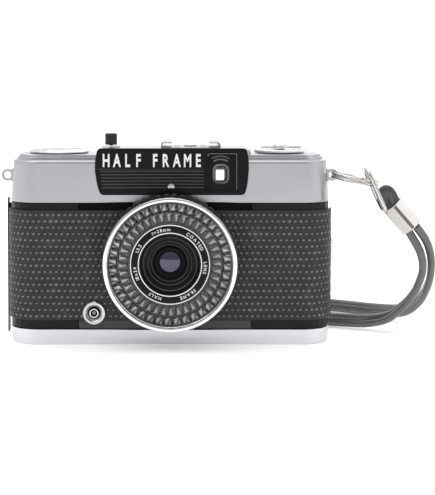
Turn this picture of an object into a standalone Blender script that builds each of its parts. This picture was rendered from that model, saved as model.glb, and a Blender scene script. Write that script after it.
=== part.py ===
"""Half frame camera with its wrist strap, as an assembly of separate pieces.

Lengths in this file are millimetres until place() turns them into metres. X runs along the
camera (the winding end at -X), the lens looks along -Y, Z is up, and the base rests on Z = 0.
"""
import math

import bmesh
import bpy
from mathutils import Matrix, Vector

MM = 0.001
GAP = 0.3                       # air kept between neighbours

# body
HALF_LENGTH = 56.0
FRONT_Y = -14.25
BACK_Y = 14.25
END_RADIUS = 10.0
BASE_TOP = 5.2
CASTING_BOTTOM = BASE_TOP + GAP
COVER_BOTTOM = 49.2
CASTING_TOP = COVER_BOTTOM - GAP
CASTING_FRONT = -13.7
SKIN_THICKNESS = 0.3
SKIN_BOTTOM = 8.3
SKIN_TOP = 46.7
APRON_LEFT = -31.5
APRON_RIGHT = 28.0
APRON_THICKNESS = 0.9
TRIPOD_X = -12.0
REWIND_BUTTON_X = 20.0
REWIND_BUTTON_Y = 2.0

# top cover
SHOULDER_Z = 63.2
PLATFORM_Z = 65.6
HUMP_Z = 67.6
HUMP_LEFT = -25.0
HUMP_RIGHT = 28.0
COVER_WALL = 1.2

# lens, all turned about this axis
LENS_Z = 29.5
RIM_FRONT_Y = -27.25
BARREL_BORE = 13.0
BLADE_THICKNESS = 0.2

# film path
CASSETTE_X = 39.1
SPOOL_X = -39.4
CHAMBER_Y = 0.2
CASSETTE_RADIUS = 12.7
SPOOL_CHAMBER_RADIUS = 11.5
CHAMBER_BOTTOM = 8.5
CHAMBER_TOP = 46.5
FILM_Y = 9.0
GATE_WIDTH = 18.4
GATE_HEIGHT = 24.4
SPROCKET_X = -19.7
SPROCKET_Y = 4.6

# back door
DOOR_SPLIT_Y = 8.4
DOOR_HALF_LENGTH = 56.6
DOOR_BOTTOM = 5.6
DOOR_TOP = 48.8
DOOR_WALL = 1.2
HINGE_X = -57.2
HINGE_Y = 8.7

# controls
BUTTON_X = -20.8
BUTTON_Y = -3.0
WHEEL_X = -36.0
WHEEL_Y = 5.2
WHEEL_RADIUS = 10.4
SHOE_X = 7.25
CRANK_PIVOT_X = CASSETTE_X - 6.5
CRANK_Z = 67.65
METER_X = -8.0
METER_Y = 2.0

# flash socket and strap lugs
SOCKET_X = -26.2
SOCKET_Z = 11.1
LUG_X = 57.8
LUG_Z = 57.8

# wrist strap
CORD_RADIUS = 1.4
STRAP_Y = -7.0
RING_RADIUS = 8.2
RING_WIRE = 1.0
RING_TILT = math.radians(11.0)

# The cord's route, from the ferrule down to the floor, round behind the camera and back.
CORD_ROUTE = [
    (84.1, -6.0, 38.15), (88.0, -6.0, 31.2), (89.3, -5.0, 25.0), (88.0, -3.2, 18.8),
    (86.3, -0.8, 14.4), (83.6, 2.5, 10.1), (79.4, 7.0, 5.4), (73.0, 11.0, 3.2),
    (65.2, 14.2, 2.8), (59.4, 16.6, 2.65), (45.0, 19.3, 2.65), (30.0, 20.4, 2.65),
    (10.0, 21.0, 2.65), (-10.0, 21.3, 2.65), (-28.0, 22.2, 2.65), (-42.0, 26.8, 2.65),
    (-47.0, 35.8, 2.65), (-42.0, 43.8, 2.65), (-28.0, 47.8, 2.65), (-10.0, 48.8, 2.65),
    (10.0, 49.2, 2.65), (30.0, 48.8, 2.65), (45.0, 47.8, 2.65), (63.4, 44.5, 2.65),
    (80.0, 34.0, 2.8), (87.8, 22.0, 5.0), (91.6, 12.5, 10.2), (93.1, 5.0, 16.8),
    (93.5, 1.0, 22.8), (92.6, -2.5, 29.2), (90.3, -5.0, 35.0), (86.5, -6.0, 40.25),
]
CORD_POINTS = 78


# ---------------------------------------------------------------- modelling helpers

def material(name, colour, roughness, metallic):
    """One Principled material for each finish, made once."""
    found = bpy.data.materials.get(name)
    if found:
        return found
    made = bpy.data.materials.new(name)
    made.use_nodes = True
    shader = made.node_tree.nodes["Principled BSDF"]
    shader.inputs["Base Color"].default_value = (*colour, 1.0)
    shader.inputs["Roughness"].default_value = roughness
    shader.inputs["Metallic"].default_value = metallic
    return made


def satin():
    return material("satin_chrome", (0.62, 0.63, 0.65), 0.35, 0.9)


def bright():
    return material("bright_chrome", (0.8, 0.8, 0.82), 0.12, 1.0)


def black_metal():
    return material("black_metal", (0.02, 0.02, 0.022), 0.4, 0.3)


def black_skin():
    return material("black_skin", (0.03, 0.03, 0.032), 0.6, 0.0)


def dull_steel():
    return material("dull_steel", (0.35, 0.35, 0.36), 0.45, 0.9)


def glass():
    return material("lens_glass", (0.75, 0.78, 0.85), 0.05, 0.0)


def grey_cell():
    return material("light_cell", (0.12, 0.12, 0.15), 0.4, 0.1)


def brass():
    return material("brass", (0.55, 0.42, 0.2), 0.35, 1.0)


def cord_black():
    return material("cord_black", (0.03, 0.03, 0.03), 0.55, 0.0)


def place(name, shape, finish, origin=(0.0, 0.0, 0.0), parent=None):
    """Turn a millimetre bmesh into an object whose own origin is at the given point."""
    bmesh.ops.recalc_face_normals(shape, faces=shape.faces)
    bmesh.ops.translate(shape, verts=shape.verts, vec=-Vector(origin))
    bmesh.ops.scale(shape, verts=shape.verts, vec=(MM, MM, MM))
    mesh = bpy.data.meshes.new(name)
    shape.to_mesh(mesh)
    shape.free()
    mesh.shade_smooth()
    mesh.set_sharp_from_angle(angle=math.radians(30.0))
    made = bpy.data.objects.new(name, mesh)
    bpy.context.scene.collection.objects.link(made)
    made.location = Vector(origin) * MM
    if finish:
        made.data.materials.append(finish)
    if parent:
        made.parent = parent
        made.location -= parent.location
    return made


def pivot(name, point):
    """An empty on a joint's axis, which moving pieces are parented to."""
    made = bpy.data.objects.new(name, None)
    made.location = Vector(point) * MM
    bpy.context.scene.collection.objects.link(made)
    return made


def rounded(x_low, x_high, y_low, y_high, radius, steps=5):
    """A rectangle with round corners, counter-clockwise."""
    corners = ((x_high, y_low, -90.0), (x_high, y_high, 0.0), (x_low, y_high, 90.0), (x_low, y_low, 180.0))
    points = []
    for x, y, start in corners:
        centre_x = x - math.copysign(radius, x - (x_low + x_high) / 2)
        centre_y = y - math.copysign(radius, y - (y_low + y_high) / 2)
        for step in range(steps + 1):
            angle = math.radians(start + 90.0 * step / steps)
            points.append((centre_x + radius * math.cos(angle), centre_y + radius * math.sin(angle)))
    return points


def loft(levels):
    """A solid through outlines with the same number of points: each level is (z, outline)."""
    shape = bmesh.new()
    rings = [[shape.verts.new((x, y, z)) for x, y in outline] for z, outline in levels]
    count = len(rings[0])
    for lower, upper in zip(rings, rings[1:]):
        for i in range(count):
            shape.faces.new((lower[i], lower[(i + 1) % count], upper[(i + 1) % count], upper[i]))
    shape.faces.new(rings[0][::-1])
    shape.faces.new(rings[-1])
    return shape


AXIS_TURNS = {
    "X": Matrix(((0, 0, 1), (1, 0, 0), (0, 1, 0))),
    "Y": Matrix(((1, 0, 0), (0, 0, 1), (0, 1, 0))),
    "Z": Matrix.Identity(3),
}


def prism(outline, low, high, axis="Z"):
    """An outline pushed along an axis. Its plane is YZ, XZ or XY for X, Y or Z."""
    shape = loft([(low, outline), (high, outline)])
    bmesh.ops.transform(shape, matrix=AXIS_TURNS[axis].to_4x4(), verts=shape.verts)
    return shape


def box(low, high):
    x0, y0, z0 = low
    x1, y1, z1 = high
    return prism([(x0, y0), (x1, y0), (x1, y1), (x0, y1)], z0, z1)


def turned(profile, centre, axis="Z", steps=24):
    """A profile of (radius, height) turned about an axis through the centre.

    A profile that starts and ends on the axis makes a solid, any other closes on itself.
    An end that runs straight in to the axis becomes one flat face.
    """
    shape = bmesh.new()
    on_axis = profile[0][0] == 0.0
    flat_start = on_axis and profile[0][1] == profile[1][1]
    flat_end = on_axis and profile[-1][1] == profile[-2][1]
    points = profile[1:] if flat_start else profile[:]
    points = points[:-1] if flat_end else points
    turn = [2 * math.pi * step / steps for step in range(steps)]
    rings = []
    for radius, height in points:
        angles = turn if radius else [0.0]
        rings.append([shape.verts.new((radius * math.cos(a), radius * math.sin(a), height)) for a in angles])
    pairs = list(zip(rings, rings[1:]))
    if not on_axis:
        pairs.append((rings[-1], rings[0]))
    for one, two in pairs:
        for i in range(steps):
            j = (i + 1) % steps
            if len(one) == 1:
                shape.faces.new((one[0], two[i], two[j]))
            elif len(two) == 1:
                shape.faces.new((one[i], one[j], two[0]))
            else:
                shape.faces.new((one[i], one[j], two[j], two[i]))
    if flat_start:
        shape.faces.new(rings[0])
    if flat_end:
        shape.faces.new(rings[-1])
    bmesh.ops.transform(shape, matrix=AXIS_TURNS[axis].to_4x4(), verts=shape.verts)
    bmesh.ops.translate(shape, verts=shape.verts, vec=centre)
    return shape


def ring_profile(inner, outer, low, high):
    return [(inner, low), (outer, low), (outer, high), (inner, high)]


def rod_profile(radius, low, high):
    return [(0.0, low), (radius, low), (radius, high), (0.0, high)]


def combine(target, shape, operation):
    """Boolean a hidden tool shape into the target."""
    tool = place(f"{target.name}_tool", shape, None)
    tool.hide_render = True
    tool.display_type = 'WIRE'
    step = target.modifiers.new(operation.lower(), 'BOOLEAN')
    step.operation = operation
    step.object = tool
    return target


def cut(target, *shapes):
    for shape in shapes:
        combine(target, shape, 'DIFFERENCE')
    return target


def join(target, *shapes):
    for shape in shapes:
        combine(target, shape, 'UNION')
    return target


# ---------------------------------------------------------------- body

def body_casting():
    front = rounded(-HALF_LENGTH, HALF_LENGTH, CASTING_FRONT, BACK_Y, END_RADIUS)
    casting = place("body_casting", loft([(CASTING_BOTTOM, front), (CASTING_TOP, front)]), black_metal())
    lip = rounded(-53.9, 53.9, -11.0, 11.2, 7.5)
    outside = prism(rounded(-70.0, 70.0, DOOR_SPLIT_Y - GAP, 40.0, 1.0, 2), 0.0, 60.0)
    cut(casting, outside)
    join(casting, prism(lip, DOOR_BOTTOM + 1.7, DOOR_TOP - 1.7))
    cut(
        casting,
        box((-52.1, FILM_Y, CHAMBER_BOTTOM + 0.5), (52.1, 20.0, CHAMBER_TOP - 0.5)),
        turned(rod_profile(CASSETTE_RADIUS, CHAMBER_BOTTOM, CHAMBER_TOP), (CASSETTE_X, CHAMBER_Y, 0)),
        box((CASSETTE_X - 12.6, 0.5, CHAMBER_BOTTOM + 0.1), (CASSETTE_X + 12.6, 21.0, CHAMBER_TOP - 0.1)),
        turned(rod_profile(SPOOL_CHAMBER_RADIUS, CHAMBER_BOTTOM, CHAMBER_TOP), (SPOOL_X, CHAMBER_Y, 0)),
        box((SPOOL_X - 11.4, 0.5, CHAMBER_BOTTOM + 0.2), (SPOOL_X + 11.4, 22.0, CHAMBER_TOP - 0.2)),
        box((SPROCKET_X - 5.6, -1.2, 12.0), (SPROCKET_X + 5.6, 20.0, 43.5)),
        box((-GATE_WIDTH / 2, -9.4, LENS_Z - GATE_HEIGHT / 2),
            (GATE_WIDTH / 2, 20.0, LENS_Z + GATE_HEIGHT / 2)),
        turned(rod_profile(17.7, -20.0, -9.2), (0, 0, LENS_Z), "Y"),
        turned(rod_profile(3.2, 40.0, 60.0), (CASSETTE_X, CHAMBER_Y, 0), steps=20),
        turned(rod_profile(2.0, 40.0, 60.0), (SPOOL_X, CHAMBER_Y, 0), steps=16),
        turned(rod_profile(3.0, -20.0, -8.0), (SOCKET_X, 0, SOCKET_Z), "Y", 20),
        box((APRON_LEFT - GAP, -20.0, 0.0), (APRON_RIGHT + GAP, CASTING_FRONT + APRON_THICKNESS + GAP, 60.0)),
    )
    return casting


def front_apron():
    """The plate that carries the lens; its edges show in both dark bands."""
    plate = box((APRON_LEFT, CASTING_FRONT, CASTING_BOTTOM),
                (APRON_RIGHT, CASTING_FRONT + APRON_THICKNESS, CASTING_TOP))
    return cut(
        place("front_apron", plate, black_metal()),
        turned(rod_profile(17.7, -20.0, 0.0), (0, 0, LENS_Z), "Y"),
        turned(rod_profile(3.0, -20.0, 0.0), (SOCKET_X, 0, SOCKET_Z), "Y", 20),
    )


def front_skin():
    """Embossed covering, wrapped round the front and the two front corners."""
    outer = rounded(-HALF_LENGTH - 0.6, HALF_LENGTH + 0.6, FRONT_Y, BACK_Y, END_RADIUS + 0.6)
    inner = rounded(-HALF_LENGTH - 0.3, HALF_LENGTH + 0.3,
                    FRONT_Y + SKIN_THICKNESS, BACK_Y + 4, END_RADIUS + 0.3)
    skin = place("front_skin", prism(outer, SKIN_BOTTOM, SKIN_TOP), black_skin())
    return cut(
        skin,
        prism(inner, 0.0, 60.0),
        box((-70.0, -4.0, 0.0), (70.0, 40.0, 60.0)),
        turned(rod_profile(20.4, -20.0, 0.0), (0, 0, LENS_Z), "Y", 32),
        turned(rod_profile(4.3, -20.0, 0.0), (SOCKET_X, 0, SOCKET_Z), "Y", 20),
    )


def base_plate():
    full = rounded(-HALF_LENGTH, HALF_LENGTH, FRONT_Y, BACK_Y, END_RADIUS)
    foot = rounded(-HALF_LENGTH + 1.2, HALF_LENGTH - 1.2, FRONT_Y + 0.5, BACK_Y - 0.5, END_RADIUS - 0.8)
    inside = rounded(-HALF_LENGTH + 2.4, HALF_LENGTH - 2.4, FRONT_Y + 1.6, BACK_Y - 1.6, END_RADIUS - 2.0)
    plate = place("base_plate", loft([(0.0, foot), (0.7, full), (BASE_TOP, full)]), satin())
    cut(
        plate,
        prism(inside, 1.2, 20.0),
        turned(rod_profile(5.3, -5.0, 9.0), (TRIPOD_X, 0, 0)),
        turned(rod_profile(2.9, -5.0, 9.0), (REWIND_BUTTON_X, REWIND_BUTTON_Y, 0), steps=20),
    )
    return plate


def base_fittings():
    bush = [(3.2, 0.0), (5.0, 0.0), (5.0, 5.0), (3.2, 5.0)]
    place("tripod_bush", turned(bush, (TRIPOD_X, 0, 0)), dull_steel())
    centre = (REWIND_BUTTON_X, REWIND_BUTTON_Y, 0)
    place("rewind_release_button", turned(rod_profile(2.5, 0.5, 4.2), centre, steps=20), satin(), centre)


def top_cover():
    wide = rounded(-HALF_LENGTH, HALF_LENGTH, FRONT_Y, BACK_Y, END_RADIUS)
    shoulder = rounded(-55.1, 55.1, FRONT_Y, BACK_Y, END_RADIUS)
    soft = rounded(-54.6, 54.6, FRONT_Y + 0.5, BACK_Y - 0.5, END_RADIUS - 0.5)
    step = rounded(-53.8, 53.9, FRONT_Y + 1.3, BACK_Y - 1.3, END_RADIUS - 1.0)
    top = rounded(-53.2, 53.3, FRONT_Y + 1.9, BACK_Y - 1.9, END_RADIUS - 1.4)
    levels = [(COVER_BOTTOM, wide), (SHOULDER_Z, shoulder), (63.8, soft),
              (64.1, step), (64.9, step), (PLATFORM_Z, top)]
    cover = place("top_cover", loft(levels), satin())
    hump_foot = rounded(HUMP_LEFT, HUMP_RIGHT, FRONT_Y + 0.2, BACK_Y - 2.6, 3.0)
    hump_top = rounded(HUMP_LEFT + 0.9, HUMP_RIGHT - 0.9, FRONT_Y + 0.4, BACK_Y - 3.4, 3.0)
    join(cover, loft([(60.0, hump_foot), (67.0, hump_foot), (HUMP_Z, hump_top)]))
    inside = rounded(-HALF_LENGTH + 2.1, HALF_LENGTH - 2.1,
                     FRONT_Y + COVER_WALL, BACK_Y - COVER_WALL, END_RADIUS - 1.2)
    hump_inside = rounded(HUMP_LEFT + 1.3, HUMP_RIGHT - 1.3, FRONT_Y + 1.5, BACK_Y - 4.0, 2.0)
    cut(
        cover,
        loft([(40.0, inside), (62.6, inside)]),
        prism(hump_inside, 60.0, 66.3),
        box((12.7, -30.0, 53.3), (23.2, 30.0, 65.5)),
        box((WHEEL_X - 9.4, 8.0, 40.0), (WHEEL_X + 9.4, 30.0, 54.7)),
        turned(rod_profile(2.5, 50.0, 80.0), (BUTTON_X, BUTTON_Y, 0), steps=20),
        turned(rod_profile(3.1, 50.0, 80.0), (CASSETTE_X, CHAMBER_Y, 0), steps=20),
        turned(rod_profile(1.6, 50.0, 80.0), (SPOOL_X, CHAMBER_Y, 0), steps=16),
    )
    return cover


def faceplate():
    left, right = -24.8, 26.3
    outline = [(left + 1.6, 51.9), (right - 1.4, 51.9), (right, 53.4), (right + 0.8, 61.5), (right, 67.0),
               (right - 1.2, 68.0), (left + 3.0, 68.0), (left + 1.2, 67.0),
               (left - 1.0, 61.5), (left + 0.4, 53.4)]
    plate = place("faceplate", prism(outline, -15.4, -14.55, "Y"), black_metal())
    cut(
        plate,
        box((12.8, -20.0, 53.4), (23.1, 0.0, 65.4)),
        turned(rod_profile(1.4, -20.0, 0.0), (0.4, 0, 54.8), "Y", 16),
    )
    place("faceplate_screw", turned(rod_profile(1.1, -15.6, -14.6), (0.4, 0, 54.8), "Y", 16), black_metal())


def finder():
    tube = place("finder_tube", box((13.0, -13.2, 53.6), (22.9, 13.0, 65.2)), black_metal())
    cut(tube, box((13.9, -30.0, 54.5), (22.0, 30.0, 64.3)))
    place("finder_front_lens", box((14.2, -12.4, 54.8), (21.7, -11.2, 64.0)), glass())
    place("finder_rear_lens", box((14.2, 9.4, 54.8), (21.7, 10.6, 64.0)), glass())
    outline = rounded(11.6, 24.2, 52.6, 65.6, 1.5, 3)
    frame = place("eyepiece_frame", prism(outline, 14.6, 15.4, "Y"), black_metal())
    cut(frame, box((14.6, 10.0, 54.2), (21.3, 20.0, 62.4)))


def hot_shoe():
    half = 10.4
    low, high, sheet, lip = HUMP_Z + GAP, 69.8, 0.5, 3.8
    outline = [(-half, low), (half, low), (half, high), (half - lip, high), (half - lip, high - sheet),
               (half - sheet, high - sheet), (half - sheet, low + sheet), (-half + sheet, low + sheet),
               (-half + sheet, high - sheet), (-half + lip, high - sheet), (-half + lip, high), (-half, high)]
    shoe = place("hot_shoe", prism([(SHOE_X + x, z) for x, z in outline], -9.0, 8.6, "Y"), satin())
    cut(shoe, turned(rod_profile(2.4, 60.0, 69.0), (SHOE_X, 0, 0), steps=20))
    contact = turned(rod_profile(2.0, low, low + sheet + 0.1), (SHOE_X, 0, 0), steps=20)
    place("hot_shoe_contact", contact, brass())


def strap_lugs():
    for side, sign in (("left", -1.0), ("right", 1.0)):
        eye = turned(ring_profile(1.25, 2.15, -0.8, 0.8), (sign * LUG_X, 0, LUG_Z), "Y", 20)
        lug = place(f"strap_lug_{side}", eye, dull_steel())
        near, far = sorted((sign * (LUG_X - 2.1), sign * (LUG_X - 1.4)))
        join(lug, box((near, -2.2, LUG_Z - 2.2), (far, 2.2, LUG_Z + 2.2)))


def flash_socket():
    washer = [(2.7, -14.6), (4.0, -14.6), (4.0, -15.1), (3.7, -15.5), (2.7, -15.1)]
    centre = (SOCKET_X, 0, SOCKET_Z)
    place("flash_socket_ring", turned(washer, centre, "Y", 24), bright())
    place("flash_socket_core", turned(rod_profile(2.3, -15.1, -9.0), centre, "Y", 16), brass())


# ---------------------------------------------------------------- lens

def lens():
    centre = (0, 0, LENS_Z)
    barrel = [(BARREL_BORE, -23.2), (19.5, -23.2), (19.5, -14.6), (17.3, -14.6), (17.3, -9.6), (5.4, -9.6),
              (5.4, -12.4), (BARREL_BORE, -12.4)]
    place("lens_barrel", turned(barrel, centre, "Y", 32), black_metal())
    rim = [(19.9, -21.9), (22.65, -21.9), (22.65, -26.9), (22.3, RIM_FRONT_Y), (21.06, RIM_FRONT_Y),
           (21.06, -23.0), (19.9, -23.0)]
    place("front_rim", turned(rim, centre, "Y", 40), bright())
    place("prism_window", turned(ring_profile(13.75, 20.75, -26.2, -24.6), centre, "Y", 32), glass())
    place("light_cell", turned(ring_profile(13.75, 20.7, -24.3, -23.5), centre, "Y", 32), grey_cell())
    cone = [(9.6, -25.2), (10.6, -25.8), (13.45, -25.8), (13.45, -23.5), (12.7, -23.5), (12.7, -16.6),
            (5.3, -16.6), (5.3, -20.4)]
    place("name_ring", turned(cone, centre, "Y", 32), black_metal())
    front = [(0.0, -18.4), (5.0, -18.4), (5.0, -19.4), (3.6, -20.0), (0.0, -20.3)]
    place("front_element", turned(front, centre, "Y", 24), glass())
    place("middle_element", turned(rod_profile(5.0, -18.0, -17.0), centre, "Y", 24), glass())
    rear = [(0.0, -11.9), (5.1, -11.9), (5.1, -10.9), (3.6, -10.4), (0.0, -10.2)]
    place("rear_element", turned(rear, centre, "Y", 24), glass())
    place("shutter_plate", turned(ring_profile(4.2, 12.7, -16.2, -15.7), centre, "Y", 24), dull_steel())


def blade(name, front_y, side, finish):
    """A leaf that covers the light path from its pivot beside it."""
    pivot_x = side * 9.0
    outline = [(pivot_x + side * 1.6, -1.6), (pivot_x + side * 1.6, 1.6), (pivot_x - side * 4.0, 5.6),
               (-side * 1.5, 5.0), (-side * 0.4, 0.0), (-side * 1.5, -5.0), (pivot_x - side * 4.0, -5.6)]
    leaf = prism([(x, LENS_Z + z) for x, z in outline], front_y, front_y + BLADE_THICKNESS, "Y")
    return place(name, leaf, finish, (pivot_x, front_y, LENS_Z))


def lens_moving():
    centre = (0, 0, LENS_Z)
    scallops = 26
    steps = scallops * 2
    valley_radius, crest_radius = 22.6, 23.3
    ring = turned(ring_profile(19.9, valley_radius, -21.5, -18.3), (0, 0, 0), "Z", steps)
    for vertex in ring.verts:
        radius = math.hypot(vertex.co.x, vertex.co.y)
        index = round(math.atan2(vertex.co.y, vertex.co.x) / (2 * math.pi / steps))
        if radius > 21.0 and index % 2 == 0:
            vertex.co.x *= crest_radius / valley_radius
            vertex.co.y *= crest_radius / valley_radius
    bmesh.ops.transform(ring, matrix=AXIS_TURNS["Y"].to_4x4(), verts=ring.verts)
    bmesh.ops.translate(ring, verts=ring.verts, vec=centre)
    place("aperture_ring", ring, black_metal(), centre)
    speed_ring = turned(ring_profile(19.9, 21.6, -17.9, -15.0), centre, "Y", 32)
    place("film_speed_ring", speed_ring, black_metal(), centre)
    blade("shutter_blade_a", -15.4, 1.0, black_metal())
    blade("shutter_blade_b", -14.9, -1.0, black_metal())
    blade("aperture_blade_a", -14.4, 1.0, dull_steel())
    blade("aperture_blade_b", -13.9, -1.0, dull_steel())


# ---------------------------------------------------------------- controls on top

def film_counter():
    centre = (SPOOL_X, CHAMBER_Y, 0)
    low = PLATFORM_Z + GAP
    bezel = [(7.9, low), (10.5, low), (10.5, low + 0.25), (8.6, low + 1.2), (7.9, low + 1.2)]
    place("counter_bezel", turned(bezel, centre, steps=36), satin())
    place("counter_window", turned(rod_profile(7.6, low + 0.7, low + 1.1), centre, steps=36), glass())
    dial = [(0.0, 60.0), (1.3, 60.0), (1.3, low), (7.6, low), (7.6, low + 0.3), (0.0, low + 0.3)]
    place("counter_dial", turned(dial, centre, steps=36), black_metal(), centre)


def release():
    centre = (BUTTON_X, BUTTON_Y, 0)
    collar = ring_profile(2.5, 3.1, HUMP_Z + 0.2, HUMP_Z + 0.9)
    place("release_collar", turned(collar, centre, steps=24), bright())
    place("shutter_button", turned(rod_profile(2.1, 61.0, 67.9), centre, steps=20), bright(), centre)
    knob = [(0.0, 68.1), (0.6, 68.1), (0.6, 68.9), (2.1, 68.9), (2.1, 72.4), (1.8, 72.7), (0.0, 72.7)]
    place("soft_release", turned(knob, centre, steps=24), black_metal(), centre)


def rewind_controls():
    centre = (CASSETTE_X, CHAMBER_Y, 0)
    shaft = [(0.0, 38.0), (1.0, 38.0), (1.0, 43.0), (2.5, 43.0), (2.5, 65.6), (0.0, 65.6)]
    place("rewind_shaft", turned(shaft, centre, steps=20), dull_steel(), centre)
    lift_ring = turned(ring_profile(2.8, 4.2, 50.0, 51.2), centre, steps=20)
    place("rewind_lift_ring", lift_ring, dull_steel(), centre)
    place("rewind_knob", turned(rod_profile(9.1, 65.9, 66.9), centre, steps=36), bright(), centre)
    hinge = pivot("crank_hinge", (CRANK_PIVOT_X, CHAMBER_Y, CRANK_Z))
    outline = rounded(CRANK_PIVOT_X - 0.4, CASSETTE_X + 7.9, CHAMBER_Y - 1.7, CHAMBER_Y + 1.7, 0.35, 2)
    arm = prism(outline, 67.3, 68.0)
    crank = place("rewind_crank", arm, bright(), (CRANK_PIVOT_X, CHAMBER_Y, CRANK_Z), hinge)
    grip = (CASSETTE_X + 6.2, CHAMBER_Y, 0)
    join(crank, turned(rod_profile(2.55, 67.5, 68.5), centre, steps=24))
    join(crank, turned(rod_profile(1.4, 67.6, 68.5), grip, steps=16))


def winding():
    centre = (WHEEL_X, WHEEL_Y, 0)
    wheel = [(0.0, 49.6), (WHEEL_RADIUS, 49.6), (WHEEL_RADIUS, 54.0), (8.8, 54.4), (0.0, 54.4)]
    place("winding_wheel", turned(wheel, centre, steps=36), black_metal(), centre)
    spool_centre = (SPOOL_X, CHAMBER_Y, 0)
    spool = [(0.0, 9.2), (10.4, 9.2), (10.4, 10.4), (5.2, 10.4), (5.2, 44.6), (10.4, 44.6), (10.4, 45.6),
             (1.6, 45.6), (1.6, 48.6), (0.0, 48.6)]
    place("take_up_spool", turned(spool, spool_centre, steps=28), black_metal(), spool_centre)
    sprocket_centre = (SPROCKET_X, SPROCKET_Y, 0)
    drum = [(0.0, 13.0), (4.6, 13.0), (4.6, 16.0), (3.9, 16.6),
            (3.9, 38.9), (4.6, 39.5), (4.6, 42.5), (0.0, 42.5)]
    place("film_sprocket", turned(drum, sprocket_centre, steps=20), dull_steel(), sprocket_centre)


def meter():
    centre = (METER_X, METER_Y, 0)
    place("meter_coil", turned(rod_profile(4.2, 50.0, 56.0), centre, steps=20), black_metal())
    needle = prism([(METER_X - 1.0, METER_Y - 1.0), (METER_X + 1.0, METER_Y - 1.0), (METER_X + 0.3, METER_Y + 6.5),
                    (METER_X - 0.3, METER_Y + 6.5)], 56.3, 56.6)
    place("meter_needle", needle, bright(), centre)


# ---------------------------------------------------------------- back door

def back_door():
    outer = rounded(-DOOR_HALF_LENGTH + 0.3, DOOR_HALF_LENGTH, -30.0, BACK_Y, END_RADIUS)
    inner = rounded(-DOOR_HALF_LENGTH + 1.5, DOOR_HALF_LENGTH - DOOR_WALL,
                    -30.0, BACK_Y - DOOR_WALL, END_RADIUS - 1.2)
    axis = (HINGE_X, HINGE_Y, 0)
    door = place("back_door", prism(outer, DOOR_BOTTOM, DOOR_TOP), satin(), axis)
    cut(
        door,
        box((-80.0, -60.0, 0.0), (80.0, DOOR_SPLIT_Y, 60.0)),
        prism(inner, DOOR_BOTTOM + DOOR_WALL, DOOR_TOP - DOOR_WALL),
    )
    join(door, box((HINGE_X, HINGE_Y - 0.2, 10.0), (HINGE_X + 2.8, HINGE_Y + 0.9, 44.0)))
    join(door, turned(rod_profile(0.9, 10.0, 44.0), axis, steps=16))
    cut(door, turned(rod_profile(0.55, 0.0, 60.0), axis, steps=12))
    pad = rounded(-47.0, 47.0, BACK_Y + 0.3, BACK_Y + 0.6, 0.1, 1)
    place("back_skin", prism(pad, SKIN_BOTTOM + 0.6, SKIN_TOP), black_skin(), axis)
    place("pressure_plate", box((-12.0, 9.8, 16.0), (12.0, 10.6, 43.0)), dull_steel())


def hinge_and_latch():
    web = box((-58.8, HINGE_Y - 2.4, 0.4), (-58.4, HINGE_Y + 1.4, 49.0))
    strip = place("hinge_bracket", web, black_metal())
    for low in (7.0, 44.4):
        join(strip, box((-58.6, HINGE_Y - 0.9, low), (HINGE_X + 0.5, HINGE_Y + 0.9, low + 2.6)))
    cut(strip, turned(rod_profile(0.55, 5.0, 60.0), (HINGE_X, HINGE_Y, 0), steps=12))
    place("hinge_pin", turned(rod_profile(0.45, 7.2, 46.8), (HINGE_X, HINGE_Y, 0), steps=12), dull_steel())
    latch = rounded(56.3 + 0.6, 58.1, -1.5, 2.5, 0.5, 2)
    place("door_latch", prism(latch, 27.0, 36.0), satin(), (57.5, 0.5, 27.0))


# ---------------------------------------------------------------- wrist strap

def smooth_route(points, count):
    """Points at even steps along a smooth curve through the route's own points."""
    knots = [Vector(p) for p in points]
    knots = [2 * knots[0] - knots[1], *knots, 2 * knots[-1] - knots[-2]]
    dense = []
    for before, start, end, after in zip(knots, knots[1:], knots[2:], knots[3:]):
        for step in range(12):
            t = step / 12
            dense.append(0.5 * (2 * start + (end - before) * t
                                + (2 * before - 5 * start + 4 * end - after) * t * t
                                + (3 * start - before - 3 * end + after) * t ** 3))
    dense.append(knots[-2])
    spans = [(b - a).length for a, b in zip(dense, dense[1:])]
    total = sum(spans)
    result, i, run = [dense[0]], 0, 0.0
    for n in range(1, count - 1):
        target = total * n / (count - 1)
        while run + spans[i] < target:
            run += spans[i]
            i += 1
        result.append(dense[i].lerp(dense[i + 1], (target - run) / spans[i]))
    result.append(dense[-1])
    return result


def tube(name, points, radius, finish, closed=False):
    """A round rod along a route, with filled ends."""
    curve = bpy.data.curves.new(name, 'CURVE')
    curve.dimensions = '3D'
    curve.bevel_depth = radius * MM
    curve.bevel_resolution = 2
    curve.use_fill_caps = not closed
    line = curve.splines.new('POLY')
    line.points.add(len(points) - 1)
    for point, where in zip(line.points, points):
        point.co = (*(Vector(where) * MM), 1.0)
    line.use_cyclic_u = closed
    made = bpy.data.objects.new(name, curve)
    curve.materials.append(finish)
    bpy.context.scene.collection.objects.link(made)
    return made


def split_ring():
    centre_x = LUG_X + RING_RADIUS * math.cos(RING_TILT)
    centre_z = LUG_Z - RING_RADIUS * math.sin(RING_TILT)
    points = []
    for step in range(36):
        angle = 2 * math.pi * step / 36
        along = RING_RADIUS * math.cos(angle)
        points.append((centre_x + along * math.cos(RING_TILT), RING_RADIUS * math.sin(angle),
                       centre_z - along * math.sin(RING_TILT)))
    tube("split_ring", points, RING_WIRE, bright(), closed=True)


def strap_link():
    """A long wire loop standing across the ring's front wire."""
    top, bottom = Vector((68.7, STRAP_Y, 60.2)), Vector((75.2, STRAP_Y, 45.7))
    middle = (top + bottom) / 2
    along = (bottom - top).normalized()
    length = (bottom - top).length
    outline = rounded(-length / 2, length / 2, -3.9, 3.9, 2.6, 4)
    points = [middle + along * a + Vector((0, b, 0)) for a, b in outline]
    tube("strap_link", points, 0.8, bright(), closed=True)


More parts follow.
